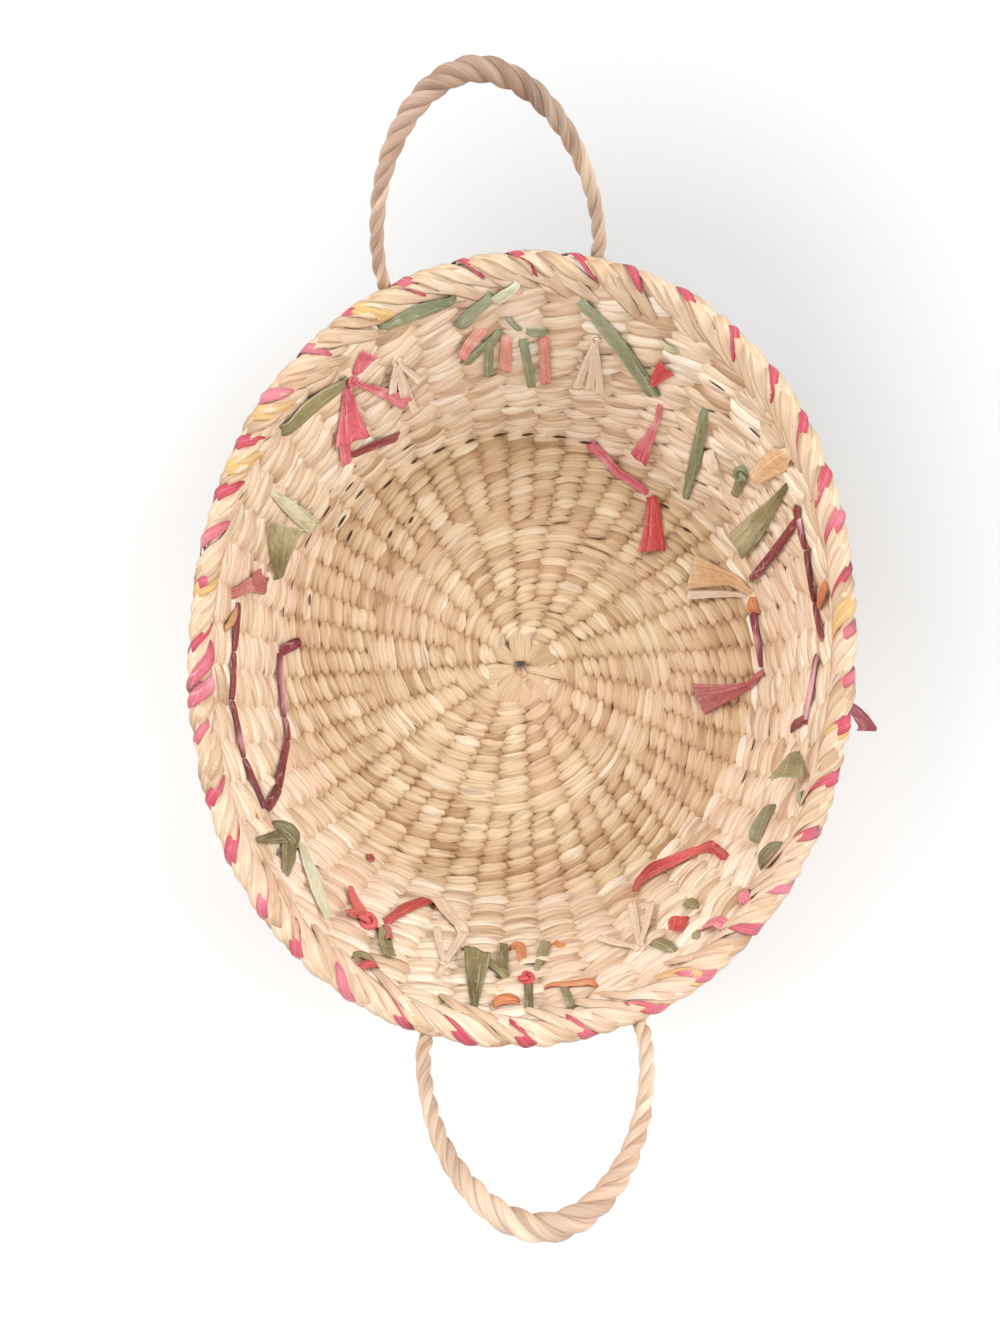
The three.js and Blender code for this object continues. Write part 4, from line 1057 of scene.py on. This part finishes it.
# Strips that fade along their length, from 0 for dark to 1 for pale
FADES = {
    "leaf_back_low": [0.2, 0.8, 0.15, 0.1, 0.1], "leaf_back_high": [0.1, 0.15, 0.2],
    "leaf_back_tip": [0.2, 0.5, 0.9], "petal_back_slant": [0.3, 0.9, 0.2], "petal_back_red": [0.9, 0.3, 0.4],
    "tail_right_pink": [0.5, 0.9, 0.3, 0.4], "ribbon_floor_pink": [0.3, 0.8, 0.3, 0.7],
    "fan_front_olive": [0.0, 0.1, 0.2, 0.3], "leaf_left_pale": [0.3, 0.9, 0.8, 0.3],
    "petal_back_left": [0.2, 0.8, 0.3], "stitch_right_long": [0.9, 0.1, 0.1, 0.8],
    "stitch_right_end": [0.6, 0.9, 0.8], "stitch_right_tip": [0.6, 0.1], "stitch_right_low": [0.3, 0.9, 0.6],
    "strip_right_tan": [0.9, 0.7, 0.9], "fan_floor_tan": [0.3, 0.6, 0.8],
    "stitch_left_high": [0.1, 0.2, 0.8, 0.2, 0.9, 0.4, 0.1],
    "stitch_left_low": [0.1, 0.1, 0.1, 0.4, 0.9, 0.9, 0.1], "stitch_left_orange": [0.0, 0.2],
    "leaf_left_olive": [0.0, 0.1], "leaf_left_side": [0.1, 0.0], "leaf_left_upper": [0.0, 0.1],
    "fan_left_olive": [0.3, 0.6, 0.9, 1.0], "fan_left_white": [1.0, 1.0],
    "leaf_right_olive": [0.0, 0.3, 0.9, 0.9],
    "petal_front_dark": [0.1, 0.1], "petal_front_green": [0.1, 0.0], "stitch_front_green": [0.1, 0.1],
    "leaf_front_right_low": [0.0, 0.2], "leaf_front_right_high": [0.0, 0.0], "stitch_back_left": [0.0, 0.1],
    "ribbon_front_right": [0.1, 0.1, 0.6, 0.2, 0.2], "petal_front_left": [0.1, 0.2, 0.1],
    "petal_front_orange": [0.3, 0.2, 0.0], "stitch_front_orange": [0.0, 0.1], "petal_front_rust": [0.3, 0.0],
    "petal_left_short": [0.1, 0.2], "petal_left_up": [0.2, 0.4], "petal_left_high": [0.1, 0.3],
    "fold_left_crimson": [0.5, 0.9, 0.1], "fold_left_up": [0.7, 0.7],
}
CAD_NODES = set(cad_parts)


def place_raffia(piece, name, colour):
    finish_piece(piece, RAFFIA[colour], "basket", [name] if name in CAD_NODES else [])


for i, (name, colour, loose, pleats, stops, widths, tilt) in enumerate(RIBBONS):
    tones = FADES.get(name)
    piece = ribbon(f"raffia_{name}", stops, widths, loose, pleats, tilt, tones=tones, seed=RIBBON_SEED + i)
    place_raffia(piece, name, colour)
tail = ribbon("raffia_tail_outside", TAIL_STOPS, TAIL_WIDTHS, pleats=1, tilt=65, face=-1, tones=TAIL_TONES,
              seed=TAIL_SEED)
place_raffia(tail, "tail_outside", "maroon")
for i, (name, colour, stops, widths) in enumerate(STITCHES):
    place_raffia(stitch(f"raffia_{name}", stops, widths, FADES.get(name), STITCH_SEED + i), name, colour)
for i, (name, colour, angle, up, size) in enumerate(KNOTS):
    place_raffia(knot(f"raffia_{name}", angle, up, size, seed=KNOT_SEED + i), name, colour)


# Lashings: a cord round each rope leg and through the wall, knotted inside with its cut ends spread

LASH_UP, LASH_TURNS, LASH_CLIMB = 66, 3, 3
# The loop's half width, its middle from the wall outwards, and its half depth
LASH_ACROSS, LASH_MIDDLE, LASH_THROUGH = 4.3, -4.2, 6.2
LASH_WIDTH, LASH_THICKNESS, LASH_TONE = 1.8, 1.4, 0.6
LASH_KNOT = 1.7
LASH_END_WIDTHS = [2.2, 3.4, 4.2]
LASHINGS = [
    # side, which leg, knot's place, then the tips of the cut ends
    ("back", "left", (340, 80), [(337, 62), (339, 55), (340, 38), (343, 60)]),
    ("back", "right", (17.4, 78), [(15.6, 42), (18.3, 44), (20.7, 42)]),
    ("front", "right", (162.4, 79), [(160, 36), (156.5, 46), (168.5, 58)]),
    ("front", "left", (197, 76), [(200.4, 48), (195, 46), (197.2, 90)]),
]


def lash_loop(angle):
    turn = np.linspace(0, 2 * np.pi * LASH_TURNS, 24 * LASH_TURNS + 1)
    angles = angle + LASH_ACROSS * np.cos(turn) * DEGREES_PER_MM
    runs = WALL_FOOT + LASH_UP + LASH_CLIMB / 2 * (turn / np.pi - LASH_TURNS)
    centres = sheet_point(angles, runs, LASH_MIDDLE + LASH_THROUGH * np.sin(turn))
    normals = sheet_normal(angles, runs)
    return strand("loop", centres, normals, LASH_WIDTH, LASH_THICKNESS, LASH_TONE, sides=6)


for i, (side, leg, spot, tips) in enumerate(LASHINGS):
    leg_angle = LEG_ANGLES[side][0 if leg == "left" else 1]
    parts = [knot("knot", *spot, LASH_KNOT, seed=LASH_KNOT_SEED + i), lash_loop(leg_angle)]
    for j, tip in enumerate(tips):
        seed = LASH_END_SEED + 10 * i + j
        parts.append(ribbon("end", [spot, tip], LASH_END_WIDTHS, loose=True, pleats=1, seed=seed))
    lashing = joined(f"lashing_{side}_{leg}_cord", parts)
    finish_piece(lashing, RAFFIA["natural"], "basket", [f"lashing_{side}_{leg}"])


# Flowers on the outside: six petals of folded raffia round a knot

PETALS, PETAL_LENGTH, FIRST_PETAL = 6, 15, 15
PETAL_WIDTHS = [2, 7.5, 7, 2]
FLOWER_EYE = 2.2
FLOWERS = [
    # name, angle, share of the way up the wall, colour
    ("back", 0.5, 0.62, "red"), ("back_right", 35, 0.55, "pink"), ("right", 85, 0.5, "maroon"),
    ("front_right", 148, 0.6, "red"), ("front", 182, 0.62, "orange"), ("front_left", 214, 0.6, "red"),
    ("left", 262, 0.5, "maroon"), ("back_left", 326, 0.6, "pink"),
]
for i, (place, angle, share, colour) in enumerate(FLOWERS):
    up = share * WALL_SLANT
    parts = [knot("eye", angle, up, FLOWER_EYE, face=-1, seed=FLOWER_EYE_SEED + i)]
    for j in range(PETALS):
        turn = math.radians(360 / PETALS * j + FIRST_PETAL)
        tip = (angle + PETAL_LENGTH * math.sin(turn) * DEGREES_PER_MM, up + PETAL_LENGTH * math.cos(turn))
        seed = PETAL_SEED + 10 * i + j
        parts.append(ribbon("petal", [(angle, up), tip], PETAL_WIDTHS, pleats=1, face=-1, seed=seed))
    flower = joined(f"flower_{place}_raffia", parts)
    finish_piece(flower, RAFFIA[colour], "basket", [f"flower_{place}"])


# Camera, floor and light

# In pixels: the photograph's longer side, and the focal length
PHOTO_HEIGHT, FOCAL_PIXELS = 1333, 1000
SENSOR = 36
CAMERA_PLACE = (0.2, -54.4, 543.6)
CAMERA_ROLL, CAMERA_PITCH, CAMERA_YAW = -3.67, -5.5, -1.21
# In metres: the floor, its grey spot behind the basket, which is a painted shadow, and where it goes grey and
# fades away
FLOOR_SIZE, FLOOR_DROP = 12, 0.0006
SHADOW_SPOT = (0.09, 0.16, 0)
SHADOW_REACH, SHADOW_LEVELS = (0.08, 0.36), (0.49, 0.76)
FADE_REACH = 0.45, 1.1
LAMP_SIZE = 1.5
LAMPS = [
    # name, place in metres, energy
    ("key", (0.2, 1.6, 1.5), 10), ("fill", (-0.3, -1.6, 1.4), 8),
    ("left", (-1.6, 0.6, 1.4), 27), ("right", (1.7, 0.1, 1.4), 31),
]
WORLD_LIGHT = 0.76


def make_camera():
    roll = Matrix.Rotation(math.radians(-CAMERA_ROLL), 3, "Z")
    pitch = Matrix.Rotation(math.radians(CAMERA_PITCH), 3, "X")
    yaw = Matrix.Rotation(math.radians(CAMERA_YAW), 3, "Y")
    bpy.ops.object.camera_add(location=(roll.transposed() @ Vector(CAMERA_PLACE)) * MM)
    camera = bpy.context.object
    camera.rotation_euler = (yaw @ pitch @ roll).transposed().to_euler()
    camera.data.sensor_width = SENSOR
    camera.data.lens = FOCAL_PIXELS * SENSOR / PHOTO_HEIGHT
    bpy.context.scene.camera = camera


def seen_directly(tree):
    """1 for what the camera sees, also in a reflection or through glass, and 0 for what only gives light."""
    path = tree.nodes.new("ShaderNodeLightPath").outputs
    indirect = math_node(tree, "MAXIMUM", path["Is Glossy Ray"], path["Is Transmission Ray"])
    return math_node(tree, "MAXIMUM", path["Is Camera Ray"], indirect)


def make_floor():
    """A pale floor with a painted shadow, a little greyer behind the basket on the right, that fades to white
    far away.
    """
    bpy.ops.object.select_all(action="DESELECT")
    bpy.ops.mesh.primitive_plane_add(size=FLOOR_SIZE, location=(0, 0, -FLOOR_DROP))
    floor = bpy.context.object
    floor.name = "pale_floor"
    material = bpy.data.materials.new("pale_floor")
    material.use_nodes = True
    tree = material.node_tree
    surface = tree.nodes["Principled BSDF"]
    place = add_node(tree, "ShaderNodeTexCoord").outputs["Object"]
    # Painted shadow: the floor's colour goes greyer towards a spot behind the basket
    spot = add_node(tree, "ShaderNodeVectorMath", {0: place, 1: SHADOW_SPOT}, operation="DISTANCE")
    grey = remap(tree, spot.outputs["Value"], *SHADOW_REACH, *SHADOW_LEVELS)
    tree.links.new(grey, surface.inputs["Base Color"])
    surface.inputs["Roughness"].default_value = 0.9
    away = add_node(tree, "ShaderNodeVectorMath", {0: place}, operation="LENGTH").outputs["Value"]
    far = remap(tree, away, *FADE_REACH, 0.0, 1.0)
    white = math_node(tree, "MULTIPLY", far, seen_directly(tree))
    glow = add_node(tree, "ShaderNodeEmission", {"Strength": 1.0})
    faded = add_node(tree, "ShaderNodeMixShader", {0: white, 1: surface.outputs[0], 2: glow.outputs[0]})
    tree.links.new(faded.outputs[0], tree.nodes["Material Output"].inputs["Surface"])
    floor.data.materials.append(material)


def make_lamp(name, place, energy):
    bpy.ops.object.light_add(type="AREA", location=place)
    lamp = bpy.context.object
    lamp.name = name
    lamp.data.size = LAMP_SIZE
    lamp.data.energy = energy
    lamp.rotation_euler = (-Vector(place)).to_track_quat("-Z", "Y").to_euler()


def make_world():
    """Even light from all round, white where it is seen."""
    world = bpy.data.worlds.new("studio")
    world.use_nodes = True
    tree = world.node_tree
    sky = tree.nodes["Background"]
    sky.inputs["Color"].default_value = (1.0, 1.0, 1.0, 1.0)
    level = remap(tree, seen_directly(tree), 0.0, 1.0, WORLD_LIGHT, 1.0)
    tree.links.new(level, sky.inputs["Strength"])
    bpy.context.scene.world = world


make_camera()
make_floor()
for lamp in LAMPS:
    make_lamp(*lamp)
make_world()
bpy.context.scene.view_settings.view_transform = "Standard"
